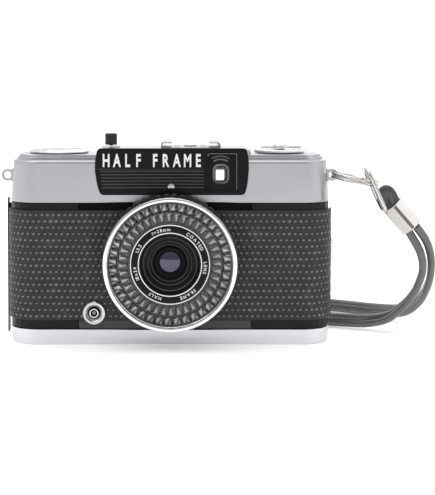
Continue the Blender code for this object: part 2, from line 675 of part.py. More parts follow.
def strap_end():
    loop = [(80.0, 47.1), (79.4, 50.5), (77.8, 53.4), (75.4, 54.4), (73.5, 52.8), (72.8, 49.8), (72.9, 47.0),
            (73.6, 44.9), (75.2, 43.95), (76.9, 44.3), (78.2, 45.4)]
    route = smooth_route([(x, STRAP_Y, z) for x, z in loop], 26)
    tube("strap_end_loop", route, 0.8, cord_black())
    start, end = Vector((77.6, STRAP_Y, 48.1)), Vector((85.2, STRAP_Y, 39.3))
    axis = (end - start).normalized()
    across = Vector((axis.z, 0, -axis.x))
    outline = [(-3.9, -1.6), (-2.2, -3.3), (2.2, -3.3), (3.9, -1.6),
               (3.9, 1.6), (2.2, 3.3), (-2.2, 3.3), (-3.9, 1.6)]
    shape = prism(outline, 3.6, (end - start).length - 0.3)
    frame = Matrix((across, Vector((0, 1, 0)), axis)).transposed().to_4x4()
    frame.translation = start
    bmesh.ops.transform(shape, matrix=frame, verts=shape.verts)
    place("strap_ferrule", shape, bright())
    tube("strap_cord", smooth_route(CORD_ROUTE, CORD_POINTS), CORD_RADIUS, cord_black())


def build():
    for leftover in list(bpy.data.objects):
        bpy.data.objects.remove(leftover, do_unlink=True)
    body_casting()
    front_apron()
    front_skin()
    base_plate()
    base_fittings()
    top_cover()
    faceplate()
    finder()
    hot_shoe()
    strap_lugs()
    flash_socket()
    lens()
    lens_moving()
    film_counter()
    release()
    rewind_controls()
    winding()
    meter()
    back_door()
    hinge_and_latch()
    split_ring()
    strap_link()
    strap_end()


build()
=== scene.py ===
"""The half frame camera's looks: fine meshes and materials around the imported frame.

Shapes are built in millimetres, in the frame's own axes, and put down in metres.
"""
import math

import bmesh
import bpy
from mathutils import Matrix, Vector


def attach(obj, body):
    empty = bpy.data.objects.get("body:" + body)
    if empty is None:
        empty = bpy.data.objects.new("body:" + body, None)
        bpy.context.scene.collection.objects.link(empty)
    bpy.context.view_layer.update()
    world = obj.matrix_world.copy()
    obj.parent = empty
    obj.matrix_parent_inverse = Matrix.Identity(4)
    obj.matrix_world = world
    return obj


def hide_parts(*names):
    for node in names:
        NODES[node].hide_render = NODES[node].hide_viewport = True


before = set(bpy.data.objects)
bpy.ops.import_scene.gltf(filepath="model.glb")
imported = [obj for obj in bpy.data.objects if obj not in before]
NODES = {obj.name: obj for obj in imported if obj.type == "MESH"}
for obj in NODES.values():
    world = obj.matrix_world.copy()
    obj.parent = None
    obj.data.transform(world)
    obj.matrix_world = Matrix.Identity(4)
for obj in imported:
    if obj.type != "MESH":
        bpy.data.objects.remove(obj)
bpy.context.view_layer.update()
MM = 0.001
ROOT = "camera"


# ---------------------------------------------------------------- mesh helpers

def add_object(name, data):
    """A new object in the scene."""
    made = bpy.data.objects.new(name, data)
    bpy.context.scene.collection.objects.link(made)
    return made


def used_up(shape, name):
    """A bmesh as a mesh; the bmesh is freed."""
    mesh = bpy.data.meshes.new(name)
    shape.to_mesh(mesh)
    shape.free()
    return mesh


def piece(name, shape, finish, body=ROOT, replaces=None, smooth=40.0, bevel=0.0,
          segments=2, clean=True):
    """Put a millimetre bmesh down as a piece that rides on a body.

    smooth is the angle in degrees from which an edge is sharp, bevel is in millimetres, and
    clean=False keeps the face normals as they are.
    """
    if clean:
        bmesh.ops.recalc_face_normals(shape, faces=shape.faces)
    bmesh.ops.scale(shape, verts=shape.verts, vec=(MM, MM, MM))
    mesh = used_up(shape, name)
    mesh.shade_smooth()
    mesh.set_sharp_from_angle(angle=math.radians(smooth))
    made = add_object(name, mesh)
    mesh.materials.append(finish)
    if bevel:
        rounding = made.modifiers.new("bevel", 'BEVEL')
        rounding.width = bevel * MM
        rounding.segments = segments
        rounding.limit_method = 'ANGLE'
        rounding.angle_limit = math.radians(30.0)
        rounding.harden_normals = False
    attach(made, body)
    if replaces:
        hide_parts(replaces)
    return made


def thicken(made, thickness, offset=-1.0):
    """Give a sheet its thickness, in metres."""
    modifier = made.modifiers.new("thickness", 'SOLIDIFY')
    modifier.thickness = thickness
    modifier.offset = offset


def rounded(x_low, x_high, y_low, y_high, radius, steps=10):
    """A rectangle with round corners, counter-clockwise."""
    corners = ((x_high, y_low, -90.0), (x_high, y_high, 0.0), (x_low, y_high, 90.0), (x_low, y_low, 180.0))
    points = []
    for x, y, start in corners:
        centre_x = x - math.copysign(radius, x - (x_low + x_high) / 2)
        centre_y = y - math.copysign(radius, y - (y_low + y_high) / 2)
        for step in range(steps + 1):
            angle = math.radians(start + 90.0 * step / steps)
            points.append((centre_x + radius * math.cos(angle), centre_y + radius * math.sin(angle)))
    return points


def bridge(shape, one, two):
    """Faces between two rings of vertices with equal counts."""
    count = len(one)
    return [shape.faces.new((one[i], one[(i + 1) % count], two[(i + 1) % count], two[i]))
            for i in range(count)]


def loft(levels):
    """A solid through outlines with equal counts of points: each level is (z, outline)."""
    shape = bmesh.new()
    rings = [[shape.verts.new((x, y, z)) for x, y in outline] for z, outline in levels]
    for lower, upper in zip(rings, rings[1:]):
        bridge(shape, lower, upper)
    shape.faces.new(rings[0][::-1])
    shape.faces.new(rings[-1])
    return shape


AXIS_TURNS = {"X": Matrix(((0, 0, 1), (1, 0, 0), (0, 1, 0))).to_4x4(),
              "Y": Matrix(((1, 0, 0), (0, 0, 1), (0, 1, 0))).to_4x4(), "Z": Matrix.Identity(4)}


def prism(outline, low, high, axis="Z"):
    """An outline made solid from low to high along an axis; along Y the outline is (x, z), along X (y, z)."""
    shape = loft([(low, outline), (high, outline)])
    bmesh.ops.transform(shape, matrix=AXIS_TURNS[axis], verts=shape.verts)
    return shape


def cuboid(low, high):
    """A box between two corners."""
    outline = [(low[0], low[1]), (high[0], low[1]), (high[0], high[1]), (low[0], high[1])]
    return prism(outline, low[2], high[2])


def turned(profile, centre, axis="Z", steps=96, ripple=None):
    """A profile of (radius, height) turned about an axis through the centre.

    A profile whose ends aren't on the axis closes on itself. ripple(radius, height, angle)
    gives a new radius, for knurls and scallops.
    """
    shape = bmesh.new()
    on_axis = profile[0][0] == 0.0
    rings = []
    for radius, height in profile:
        if radius == 0.0:
            rings.append([shape.verts.new((0.0, 0.0, height))])
            continue
        ring = []
        for step in range(steps):
            angle = 2 * math.pi * step / steps
            reach = ripple(radius, height, angle) if ripple else radius
            ring.append(shape.verts.new((reach * math.cos(angle), reach * math.sin(angle), height)))
        rings.append(ring)
    pairs = list(zip(rings, rings[1:]))
    if not on_axis:
        pairs.append((rings[-1], rings[0]))
    for one, two in pairs:
        if len(one) == len(two):
            bridge(shape, one, two)
            continue
        for i in range(steps):
            j = (i + 1) % steps
            fan = (one[0], two[i], two[j]) if len(one) == 1 else (one[i], one[j], two[0])
            shape.faces.new(fan)
    bmesh.ops.transform(shape, matrix=AXIS_TURNS[axis], verts=shape.verts)
    bmesh.ops.translate(shape, verts=shape.verts, vec=centre)
    return shape


def ribs(depth, count, beyond, low=-math.inf, high=math.inf):
    """A ripple for turned(): round ribs cut in where the radius is large enough, between two heights."""
    def ripple(radius, height, angle):
        if radius > beyond and low < height < high:
            return radius - depth * (0.5 + 0.5 * math.cos(angle * count))
        return radius

    return ripple


def soft_corners(profile, radius, steps=4):
    """Round each corner of a profile, but not where it ends on the axis."""
    result = []
    count = len(profile)
    for i, corner in enumerate(profile):
        here = Vector(corner)
        if corner[0] == 0.0:
            result.append(corner)
            continue
        before = Vector(profile[i - 1]) - here
        after = Vector(profile[(i + 1) % count]) - here
        reach = min(radius, before.length * 0.45, after.length * 0.45)
        start = here + before.normalized() * reach
        end = here + after.normalized() * reach
        for step in range(steps + 1):
            t = step / steps
            result.append(tuple(start * (1 - t) ** 2 + here * 2 * t * (1 - t) + end * t * t))
    return result


def merge(*shapes):
    """Several bmeshes as one."""
    whole = bmesh.new()
    for shape in shapes:
        mesh = used_up(shape, "part")
        whole.from_mesh(mesh)
        bpy.data.meshes.remove(mesh)
    return whole


def cut_away(target, *shapes):
    """Cut shapes out of a piece, and leave no cutter behind."""
    for shape in shapes:
        bmesh.ops.recalc_face_normals(shape, faces=shape.faces)
        bmesh.ops.scale(shape, verts=shape.verts, vec=(MM, MM, MM))
        cutter = add_object("cutter", used_up(shape, "cutter"))
        step = target.modifiers.new("cut", 'BOOLEAN')
        step.operation = 'DIFFERENCE'
        step.object = cutter
        evaluated = target.evaluated_get(bpy.context.evaluated_depsgraph_get())
        target.data = bpy.data.meshes.new_from_object(evaluated)
        target.modifiers.clear()
        bpy.data.objects.remove(cutter)
    target.data.shade_smooth()
    target.data.set_sharp_from_angle(angle=math.radians(25.0))
    level = target.modifiers.new("level", 'WEIGHTED_NORMAL')
    level.keep_sharp = True


WORD_SPACE = 0.42                # both as parts of the letters' size
LETTER_SPACE = 0.1


def letters(text, size, put, depth=0.06, spacing=1.12, bold=0.012):
    """Raised lettering and its width: put(advance) gives the matrix that each letter is set with."""
    shapes = []
    advance = 0.0
    for letter in text:
        if letter == " ":
            advance += size * WORD_SPACE
            continue
        curve = bpy.data.curves.new("letter", 'FONT')
        curve.body = letter
        curve.size = size
        curve.extrude = depth
        curve.offset = size * bold
        curve.resolution_u = 3
        holder = add_object("letter", curve)
        evaluated = holder.evaluated_get(bpy.context.evaluated_depsgraph_get())
        mesh = bpy.data.meshes.new_from_object(evaluated)
        xs = [vertex.co.x for vertex in mesh.vertices]
        left, right = min(xs), max(xs)
        shape = bmesh.new()
        shape.from_mesh(mesh)
        bmesh.ops.remove_doubles(shape, verts=shape.verts, dist=size * 0.001)
        bmesh.ops.translate(shape, verts=shape.verts, vec=(-(left + right) / 2, 0, 0))
        width = right - left
        bmesh.ops.transform(shape, matrix=put(advance + width / 2), verts=shape.verts)
        advance += width * spacing + size * LETTER_SPACE
        shapes.append(shape)
        bpy.data.objects.remove(holder)
        bpy.data.curves.remove(curve)
        bpy.data.meshes.remove(mesh)
    return merge(*shapes), advance


# ---------------------------------------------------------------- materials

def add_node(tree, kind, inputs=(), **settings):
    """A shader node, with its settings and the values of its inputs."""
    made = tree.nodes.new(kind)
    for key, value in settings.items():
        setattr(made, key, value)
    for key, value in dict(inputs).items():
        made.inputs[key].default_value = value
    return made


def map_range(from_min, from_max, to_min, to_max):
    """The inputs of a Map Range node."""
    return {"From Min": from_min, "From Max": from_max, "To Min": to_min, "To Max": to_max}


class Finish:
    """A node material under construction: short names for the nodes that every finish uses."""

    MIDDLE = (0.3, 0.7)         # the range that noise mostly keeps to

    def __init__(self, name, slot=None):
        self.material = bpy.data.materials.new(name)
        self.material.use_nodes = True
        self.tree = self.material.node_tree
        self.shader = self.tree.nodes["Principled BSDF"]
        self.position = self.node("ShaderNodeTexCoord").outputs["Object"]

    def node(self, kind, inputs=(), **settings):
        return add_node(self.tree, kind, inputs, **settings)

    def link(self, source, target):
        self.tree.links.new(source, target)

    def noise(self, scale, detail=4.0, stretch=(1, 1, 1)):
        """Noise in object space, at about scale features to the metre."""
        place = self.node("ShaderNodeMapping", {"Scale": stretch})
        self.link(self.position, place.inputs["Vector"])
        texture = self.node("ShaderNodeTexNoise", {"Scale": scale, "Detail": detail})
        self.link(place.outputs["Vector"], texture.inputs["Vector"])
        return texture.outputs["Fac"]

    def roughness(self, source, low, high):
        """A factor mapped from its middle range to low..high, as the roughness."""
        ramp = self.node("ShaderNodeMapRange", map_range(*self.MIDDLE, low, high))
        self.link(source, ramp.inputs["Value"])
        self.link(ramp.outputs["Result"], self.shader.inputs["Roughness"])

    def tint(self, source, dark, light):
        """A factor mapped from its middle range to two colours, as the base colour."""
        ramp = self.node("ShaderNodeValToRGB")
        for stop, position, colour in zip(ramp.color_ramp.elements, self.MIDDLE, (dark, light)):
            stop.position = position
            stop.color = (*colour, 1)
        self.link(source, ramp.inputs["Fac"])
        self.link(ramp.outputs["Color"], self.shader.inputs["Base Color"])

    def bump(self, source, height, strength=1.0):
        """A height texture; height is in metres."""
        relief = self.node("ShaderNodeBump", {"Distance": height, "Strength": strength})
        self.link(source, relief.inputs["Height"])
        self.link(relief.outputs["Normal"], self.shader.inputs["Normal"])

    def set(self, **values):
        """Values for the shader's own sockets, with _ for a space in a name."""
        for key, value in values.items():
            self.shader.inputs[key.replace("_", " ")].default_value = value


def shaded(name, slot, dark, light, rough, metallic=0.0, grain=900.0, relief=0.00001, **sockets):
    """The usual finish: broad tint, uneven gloss and a fine surface grain."""
    made = Finish(name, slot)
    made.set(Metallic=metallic, **sockets)
    made.tint(made.noise(70.0, 3.0), dark, light)
    made.roughness(made.noise(240.0, 5.0), *rough)
    made.bump(made.noise(grain), relief, 0.6)
    return made.material


SATIN = shaded("satin_plating", "satin_chrome", (0.455, 0.46, 0.485), (0.49, 0.495, 0.52), (0.30, 0.34), 1.0,
               9000.0, 0.000002)
# the top plate's satin plating painted lighter for the base: painted light
BASE_SATIN = shaded("base_plating", "satin_chrome", (0.69, 0.69, 0.72), (0.72, 0.72, 0.75), (0.30, 0.34), 1.0,
                    9000.0, 0.000002)
BRIGHT = shaded("bright_plating", "bright_chrome", (0.86, 0.86, 0.87), (0.93, 0.93, 0.94), (0.05, 0.10), 1.0,
                1500.0, 0.000002)
SPUN = shaded("spun_plating", "bright_chrome", (0.64, 0.64, 0.65), (0.74, 0.74, 0.75), (0.16, 0.24), 1.0,
              2500.0, 0.000004)
STEEL = shaded("plain_steel", "dull_steel", (0.38, 0.38, 0.39), (0.50, 0.50, 0.51), (0.28, 0.40), 1.0, 2500.0,
               0.000006)
BLACK = shaded("black_enamel", "black_metal", (0.004, 0.004, 0.005), (0.006, 0.006, 0.007), (0.26, 0.36), 0.0,
               2500.0, 0.000004, Specular_IOR_Level=0.16)
MATT_BLACK = shaded("matt_black", "black_metal", (0.004, 0.004, 0.0045), (0.007, 0.007, 0.008), (0.5, 0.65),
                    0.0, 3000.0, 0.000015, Specular_IOR_Level=0.1)
BAND = shaded("band_enamel", "black_metal", (0.006, 0.006, 0.007), (0.009, 0.009, 0.010), (0.32, 0.45), 0.0,
              2500.0, 0.000008, Specular_IOR_Level=0.2)
INK = shaded("white_paint", "black_metal", (0.80, 0.80, 0.79), (0.88, 0.88, 0.87), (0.45, 0.55), 0.0, 3000.0,
             0.000004)
BRASS = shaded("brass", "brass", (0.50, 0.38, 0.18), (0.62, 0.48, 0.24), (0.22, 0.34), 1.0, 2500.0, 0.000004)
CELL = shaded("light_cell", "light_cell", (0.10, 0.10, 0.14), (0.20, 0.20, 0.24), (0.30, 0.45), 0.1, 900.0,
              0.00001)
STRAP = shaded("strap_rubber", "strap_cord", (0.035, 0.035, 0.037), (0.055, 0.055, 0.057), (0.26, 0.36), 0.0,
               2600.0, 0.00001, Specular_IOR_Level=0.7)
# the strap's rubber painted lighter for the beads: painted highlight
STRAP_BEAD_HIGHLIGHT = shaded("strap_painted_bead_highlight", "strap_cord", (0.085, 0.085, 0.087), (0.13, 0.13, 0.132), (0.24, 0.34),
                    0.0, 2600.0, 0.00001, Specular_IOR_Level=0.7)


def apron_enamel():
    """Black above the covering and a dark grey below it, lighter towards the bottom."""
    made = Finish("apron_enamel", "black_metal")
    made.set(Specular_IOR_Level=0.06)
    split = made.node("ShaderNodeSeparateXYZ")
    made.link(made.position, split.inputs[0])
    # lighter towards the bottom, from 44 mm down to 12 mm
    height = made.node("ShaderNodeMapRange", map_range(0.044, 0.012, 0.2, 0.75))
    made.link(split.outputs["Z"], height.inputs["Value"])
    grain = made.node("ShaderNodeMath", {1: 0.12}, operation='MULTIPLY_ADD')
    made.link(made.noise(500.0, 5.0), grain.inputs[0])
    made.link(height.outputs["Result"], grain.inputs[2])
    made.tint(grain.outputs[0], (0.003, 0.003, 0.0036), (0.085, 0.085, 0.092))
    made.roughness(made.noise(240.0, 5.0), 0.34, 0.46)
    made.bump(made.noise(2500.0), 0.000006, 0.6)
    return made.material


def leather():
    """Dark grained covering, with a painted highlight on the upper part of each bar that a mesh attribute
    marks.
    """
    made = Finish("embossed_covering", "black_skin")
    made.set(Specular_IOR_Level=0.42)
    # painted highlight on each bar's upper part, mixed with the grain into the colour
    painted_bar_highlight = made.node("ShaderNodeAttribute", attribute_name="painted_bar_highlight")
    blend = made.node("ShaderNodeMath", {1: 0.75}, operation='MULTIPLY_ADD')
    made.link(painted_bar_highlight.outputs["Fac"], blend.inputs[0])
    grain = made.node("ShaderNodeMath", {1: 0.5}, operation='MULTIPLY')
    made.link(made.noise(260.0, 5.0), grain.inputs[0])
    made.link(grain.outputs[0], blend.inputs[2])
    made.tint(blend.outputs[0], (0.018, 0.018, 0.0195), (0.19, 0.19, 0.195))
    made.roughness(made.noise(1500.0, 5.0), 0.42, 0.60)
    made.bump(made.noise(3400.0, 6.0), 0.00006, 0.9)
    return made.material


def clear(name, slot, colour, roughness=0.03):
    """Glass, with a faint haze so that it isn't perfectly clean."""
    made = Finish(name, slot)
    made.set(Transmission_Weight=1.0, IOR=1.5)
    made.tint(made.noise(180.0, 3.0), colour, tuple(min(1.0, c * 1.03) for c in colour))
    made.roughness(made.noise(600.0), roughness, roughness + 0.03)
    return made.material


LEATHER = leather()
APRON = apron_enamel()
CLEAR = clear("clear_glass", "glass", (0.96, 0.97, 0.98))
COATED = shaded("coated_glass", "glass", (0.05, 0.045, 0.085), (0.08, 0.075, 0.12), (0.06, 0.12), 0.55, 900.0,
                0.000002, Coat_Weight=0.6)
PRISM = shaded("prism_plastic", "glass", (0.018, 0.018, 0.022), (0.045, 0.045, 0.052), (0.08, 0.16), 0.0,
               900.0, 0.000008, Coat_Weight=0.5)
# the prism plastic painted lighter for the sides that face the light: painted light
PRISM_PAINTED_LIT = shaded("prism_painted_highlight", "glass", (0.27, 0.27, 0.285), (0.60, 0.60, 0.62), (0.10, 0.2), 0.1,
                   900.0, 0.000008, Coat_Weight=0.5)
# grey for fine lines on black parts: painted highlights
HIGHLIGHT_LINES = shaded("painted_highlight_grey", "black_metal", (0.16, 0.16, 0.17), (0.22, 0.22, 0.23), (0.3, 0.4), 0.2, 2500.0,
              0.000004)
NICKEL = shaded("nickel_wire", "bright_chrome", (0.50, 0.485, 0.465), (0.66, 0.64, 0.62), (0.12, 0.2), 1.0,
                2500.0, 0.000004)
# black enamel painted a little lighter for the ribs: painted highlight
RIB = shaded("rib_enamel", "black_metal", (0.010, 0.010, 0.012), (0.016, 0.016, 0.018), (0.22, 0.3), 0.0,
             2500.0, 0.000004, Specular_IOR_Level=0.6)
MOUNT = shaded("window_mount", "black_metal", (0.10, 0.10, 0.11), (0.17, 0.17, 0.18), (0.25, 0.38), 0.5,
               2500.0, 0.000004)
KNURL = shaded("knurled_black", "black_metal", (0.022, 0.022, 0.023), (0.045, 0.045, 0.047), (0.28, 0.38),
               0.3, 2500.0, 0.000006)
RED = shaded("red_paint", "black_metal", (0.45, 0.03, 0.02), (0.55, 0.05, 0.03), (0.4, 0.5), 0.0, 2500.0,
             0.000004)
SCALLOP = shaded("ring_enamel", "black_metal", (0.015, 0.015, 0.017), (0.03, 0.03, 0.032), (0.2, 0.3), 0.4,
                 2500.0, 0.000004)


# ---------------------------------------------------------------- camera, light and floor

SEEN_WHITE = 1.05               # the room's strength where the camera looks straight at it
VIEW_POINT = (0.0, -0.409, 0.0885)
VIEW_TILT = 2.0                 # degrees down
LAMP_TARGET = (0, 0, 0.03)
LAMPS = (                       # name, place, size, power
    ("key", (-0.55, -0.45, 0.85), 0.6, 1.1),
    ("fill", (0.75, -0.35, 0.45), 0.5, 0.4),
    ("top", (0.0, 0.15, 1.0), 0.8, 1.6),
    ("back", (0.2, 0.9, 0.6), 0.9, 1.5),
)


def studio_light(tree):
    """A white room that is dimmer on the side that the lens looks to, and plain white to the eye."""
    background = tree.nodes["Background"]
    direction = add_node(tree, "ShaderNodeTexCoord")
    split = add_node(tree, "ShaderNodeSeparateXYZ")
    tree.links.new(direction.outputs["Generated"], split.inputs[0])
    front = add_node(tree, "ShaderNodeMapRange", map_range(-1.0, -0.1, 0.33, 0.88),
                     interpolation_type='SMOOTHSTEP')
    tree.links.new(split.outputs["Y"], front.inputs["Value"])
    high = add_node(tree, "ShaderNodeMapRange", map_range(0.15, 0.9, 0.0, 0.35))
    tree.links.new(split.outputs["Z"], high.inputs["Value"])
    total = add_node(tree, "ShaderNodeMath", operation='ADD')
    tree.links.new(front.outputs["Result"], total.inputs[0])
    tree.links.new(high.outputs["Result"], total.inputs[1])
    seen = add_node(tree, "ShaderNodeLightPath")
    choose = add_node(tree, "ShaderNodeMix", {"B": SEEN_WHITE})
    tree.links.new(seen.outputs["Is Camera Ray"], choose.inputs["Factor"])
    tree.links.new(total.outputs[0], choose.inputs["A"])
    tree.links.new(choose.outputs["Result"], background.inputs["Strength"])
    background.inputs["Color"].default_value = (1.0, 1.0, 1.0, 1.0)


def stage_and_camera():
    """The view, a little above the lens and square to the front; the lamps, the room and a white floor."""
    scene = bpy.context.scene
    scene.view_settings.view_transform = 'Standard'
    scene.view_settings.look = 'None'
    camera = bpy.data.cameras.new("view")
    camera.lens = 83.6
    camera.sensor_width = 36.0
    camera.shift_x = 0.096
    camera.shift_y = -0.24
    camera.clip_start = 0.01
    holder = add_object("view", camera)
    holder.location = VIEW_POINT
    holder.rotation_euler = (math.radians(90.0 - VIEW_TILT), 0.0, 0.0)
    scene.camera = holder

    world = bpy.data.worlds.new("studio")
    world.use_nodes = True
    studio_light(world.node_tree)
    scene.world = world

    floor_shape = bmesh.new()
    bmesh.ops.create_grid(floor_shape, x_segments=2, y_segments=2, size=3.0)
    floor = add_object("floor", used_up(floor_shape, "floor"))
    floor.location = (0, 0, -0.0001)
    paper = shaded("white_paper", None, (0.93, 0.93, 0.93), (0.95, 0.95, 0.95), (0.8, 0.9), 0.0, 900.0,
                   0.00001)
    shader = paper.node_tree.nodes["Principled BSDF"]
    shader.inputs["Emission Color"].default_value = (1.0, 1.0, 1.0, 1.0)
    shader.inputs["Emission Strength"].default_value = 0.28
    floor.data.materials.append(paper)

    for name, place, size, power in LAMPS:
        lamp = bpy.data.lights.new(name, 'AREA')
        lamp.size = size
        lamp.energy = power
        holder = add_object(name, lamp)
        holder.location = place
        holder.rotation_euler = (Vector(LAMP_TARGET) - Vector(place)).to_track_quat('-Z', 'Y').to_euler()


# ---------------------------------------------------------------- wrist strap

STRAP_Y = -7.0
CORD_ROUTE = [
    (84.1, -6.0, 38.15), (88.0, -6.0, 31.2), (89.3, -5.0, 25.0), (88.0, -3.2, 18.8),
    (86.3, -0.8, 14.4), (83.6, 2.5, 10.1), (79.4, 7.0, 5.4), (73.0, 11.0, 3.2),
    (65.2, 14.2, 2.8), (59.4, 16.6, 2.65), (45.0, 19.3, 2.65), (30.0, 20.4, 2.65),
    (10.0, 21.0, 2.65), (-10.0, 21.3, 2.65), (-28.0, 22.2, 2.65), (-42.0, 26.8, 2.65),
    (-47.0, 35.8, 2.65), (-42.0, 43.8, 2.65), (-28.0, 47.8, 2.65), (-10.0, 48.8, 2.65),
    (10.0, 49.2, 2.65), (30.0, 48.8, 2.65), (45.0, 47.8, 2.65), (63.4, 44.5, 2.65),
    (80.0, 34.0, 2.8), (87.8, 22.0, 5.0), (91.6, 12.5, 10.2), (93.1, 5.0, 16.8),
    (93.5, 1.0, 22.8), (92.6, -2.5, 29.2), (90.3, -5.0, 35.0), (86.5, -6.0, 40.25),
]


def smooth_route(points, count):
    """Points at even steps along a smooth curve through the route's own points."""
    knots = [Vector(p) for p in points]
    knots = [2 * knots[0] - knots[1], *knots, 2 * knots[-1] - knots[-2]]
    dense = []
    for before, start, end, after in zip(knots, knots[1:], knots[2:], knots[3:]):
        for step in range(12):
            t = step / 12
            dense.append(0.5 * (2 * start + (end - before) * t
                                + (2 * before - 5 * start + 4 * end - after) * t * t
                                + (3 * start - before - 3 * end + after) * t ** 3))
    dense.append(knots[-2])
    spans = [(b - a).length for a, b in zip(dense, dense[1:])]
    total = sum(spans)
    result, i, run = [dense[0]], 0, 0.0
    for n in range(1, count - 1):
        target = total * n / (count - 1)
        while run + spans[i] < target:
            run += spans[i]
            i += 1
        result.append(dense[i].lerp(dense[i + 1], (target - run) / spans[i]))
    result.append(dense[-1])
    return result


def sweep(route, section, wide_at, closed=False, edges=()):
    """A section of (across, thick) swept along a route; wide_at(t) is the wide side's direction.

    The section's sides that edges lists take the piece's second finish.
    """
    shape = bmesh.new()
    rings = []
    count = len(route)
    for i, point in enumerate(route):
        ahead = route[(i + 1) % count] if closed or i + 1 < count else point
        behind = route[i - 1] if closed or i else point
        along = (ahead - behind).normalized()
        wide = wide_at(i / (count - 1))
        wide = (wide - along * wide.dot(along)).normalized()
        thick = along.cross(wide)
        rings.append([shape.verts.new(point + wide * a + thick * b) for a, b in section])
    pairs = list(zip(rings, rings[1:]))
    if closed:
        pairs.append((rings[-1], rings[0]))
    for one, two in pairs:
        for i, face in enumerate(bridge(shape, one, two)):
            face.material_index = int(i in edges)
    if not closed:
        shape.faces.new(rings[0][::-1])
        shape.faces.new(rings[-1])
    return shape


def round_section(radius, steps=12):
    """A wire's section."""
    return [(radius * math.cos(2 * math.pi * i / steps), radius * math.sin(2 * math.pi * i / steps))
            for i in range(steps)]


def piped_section(width=5.0, web=1.9, bead=1.35):
    """A flat band with a round bead along each edge and a faint rib down the middle."""
    half = width / 2 - bead
    points = []
    for side, start in ((1, -132), (-1, 48)):
        for step in range(13):
            angle = math.radians(start + 264 * step / 12)
            points.append((side * half + bead * math.cos(angle), bead * math.sin(angle)))
        points += [(side * half * 0.45, side * web / 2), (side * 0.35, side * web / 2),
                   (0.0, side * (web / 2 + 0.18)), (-side * 0.35, side * web / 2),
                   (-side * half * 0.45, side * web / 2)]
    return points


def strap_cord():
    """The band, from the ferrule round behind the camera and back."""

    def wide_at(t):
        """The band hangs with its wide side along the depth, and stands on edge on the floor."""
        lying = min(1.0, max(0.0, (t - 0.04) / 0.16), max(0.0, (0.97 - t) / 0.16))
        lying = lying * lying * (3 - 2 * lying)
        return Vector((0.25 * (1 - lying), 1 - lying, lying)).normalized()

    # the beads take the lighter finish: painted highlight
    beads = {*range(12), *range(18, 30)}
    shape = sweep(smooth_route(CORD_ROUTE, 190), piped_section(), wide_at, edges=beads)
    band = piece("strap_band", shape, STRAP, replaces="strap_cord", smooth=50.0)
    band.data.materials.append(STRAP_BEAD_HIGHLIGHT)
    path = [tuple(point * MM) for point in smooth_route(CORD_ROUTE, 100)]


def strap_fittings():
    """The end loop, the ferrule, the split ring through the lug and the wire link between them."""
    loop = [(80.0, 46.4), (78.5, 49.2), (77.3, 51.6), (76.2, 52.7), (75.2, 52.4), (74.7, 51.0), (74.8, 49.2),
            (75.4, 47.6), (76.5, 46.5), (77.8, 45.8), (79.1, 45.0)]
    loop_route = smooth_route([(x, STRAP_Y, z) for x, z in loop], 60)
    loop_section = [(a * 0.7, b * 1.7) for a, b in piped_section(5.0, 2.0, 1.15)]
    shape = sweep(loop_route, loop_section, lambda t: Vector((0, 1, 0)))
    piece("strap_end", shape, STRAP, replaces="strap_end_loop")

    axis_start, axis_end = Vector((77.6, STRAP_Y, 48.1)), Vector((85.2, STRAP_Y, 39.3))
    axis = (axis_end - axis_start).normalized()
    across = Vector((axis.z, 0, -axis.x))
    outline = [(-3.9, -0.9), (-0.6, -3.4), (0.6, -3.4), (3.9, -0.9), (3.9, 0.9), (0.6, 3.4), (-0.6, 3.4),
               (-3.9, 0.9)]
    inner = [(a * 0.86, b * 0.84) for a, b in outline]
    hollow = [(a * 0.8, b * 0.8) for a, b in inner]
    length = (axis_end - axis_start).length
    shape = loft([(3.2, hollow), (0.8, inner), (0.5, outline), (length - 0.5, outline), (length - 0.8, inner),
                  (length - 2.4, hollow)])
    pose = Matrix((across, Vector((0, 1, 0)), axis)).transposed().to_4x4()
    pose.translation = axis_start
    bmesh.ops.transform(shape, matrix=pose, verts=shape.verts)
    piece("ferrule", shape, NICKEL, replaces="strap_ferrule", smooth=20.0, bevel=0.14)
    # a dark strip on the ferrule's front flat: painted dark reflection in the plating
    facet = cuboid((-0.55, -3.5, 0.8), (0.55, -3.2, length - 0.8))
    bmesh.ops.transform(facet, matrix=pose, verts=facet.verts)
    piece("ferrule_painted_reflection", facet, MOUNT, bevel=0.1)

    # split ring: two turns of wire, one on the other, with both ends cut
    reach, tilt = 8.2, math.radians(11.0)
    centre = Vector((57.8 + reach * math.cos(tilt), 0, 57.8 - reach * math.sin(tilt)))
    turns = []
    for step in range(161):
        t = step / 160
        angle = math.radians(60) + 2 * math.pi * 2 * t
        rise = 0.62 if t > 0.55 else -0.62 if t < 0.45 else (t - 0.5) / 0.05 * 0.62
        flat = Vector((reach * math.cos(angle), reach * math.sin(angle), rise))
        flat = Matrix.Rotation(tilt, 3, 'Y') @ flat
        turns.append(centre + flat)
    shape = sweep(turns, round_section(0.56), lambda t: Vector((0, 0, 1)))
    piece("split_ring_wire", shape, NICKEL, replaces="split_ring", smooth=60.0)

    top, bottom = Vector((68.7, STRAP_Y, 60.2)), Vector((75.2, STRAP_Y, 45.7))
    along = (bottom - top).normalized()
    span = (bottom - top).length
    outline = rounded(-span / 2, span / 2, -3.9, 3.9, 2.9, 8)
    dense = []
    for i, (a, b) in enumerate(outline):
        following = Vector(outline[(i + 1) % len(outline)])
        here = Vector((a, b))
        parts = max(1, round((following - here).length / 1.2))
        dense += [here.lerp(following, part / parts) for part in range(parts)]
    wire = [(top + bottom) / 2 + along * p.x + Vector((0, p.y, 0)) for p in dense]
    normal = along.cross(Vector((0, 1, 0)))
    shape = sweep(wire, round_section(0.82, 14), lambda t: normal, closed=True)
    piece("link_wire", shape, NICKEL, replaces="strap_link", smooth=60.0)


# ---------------------------------------------------------------- body

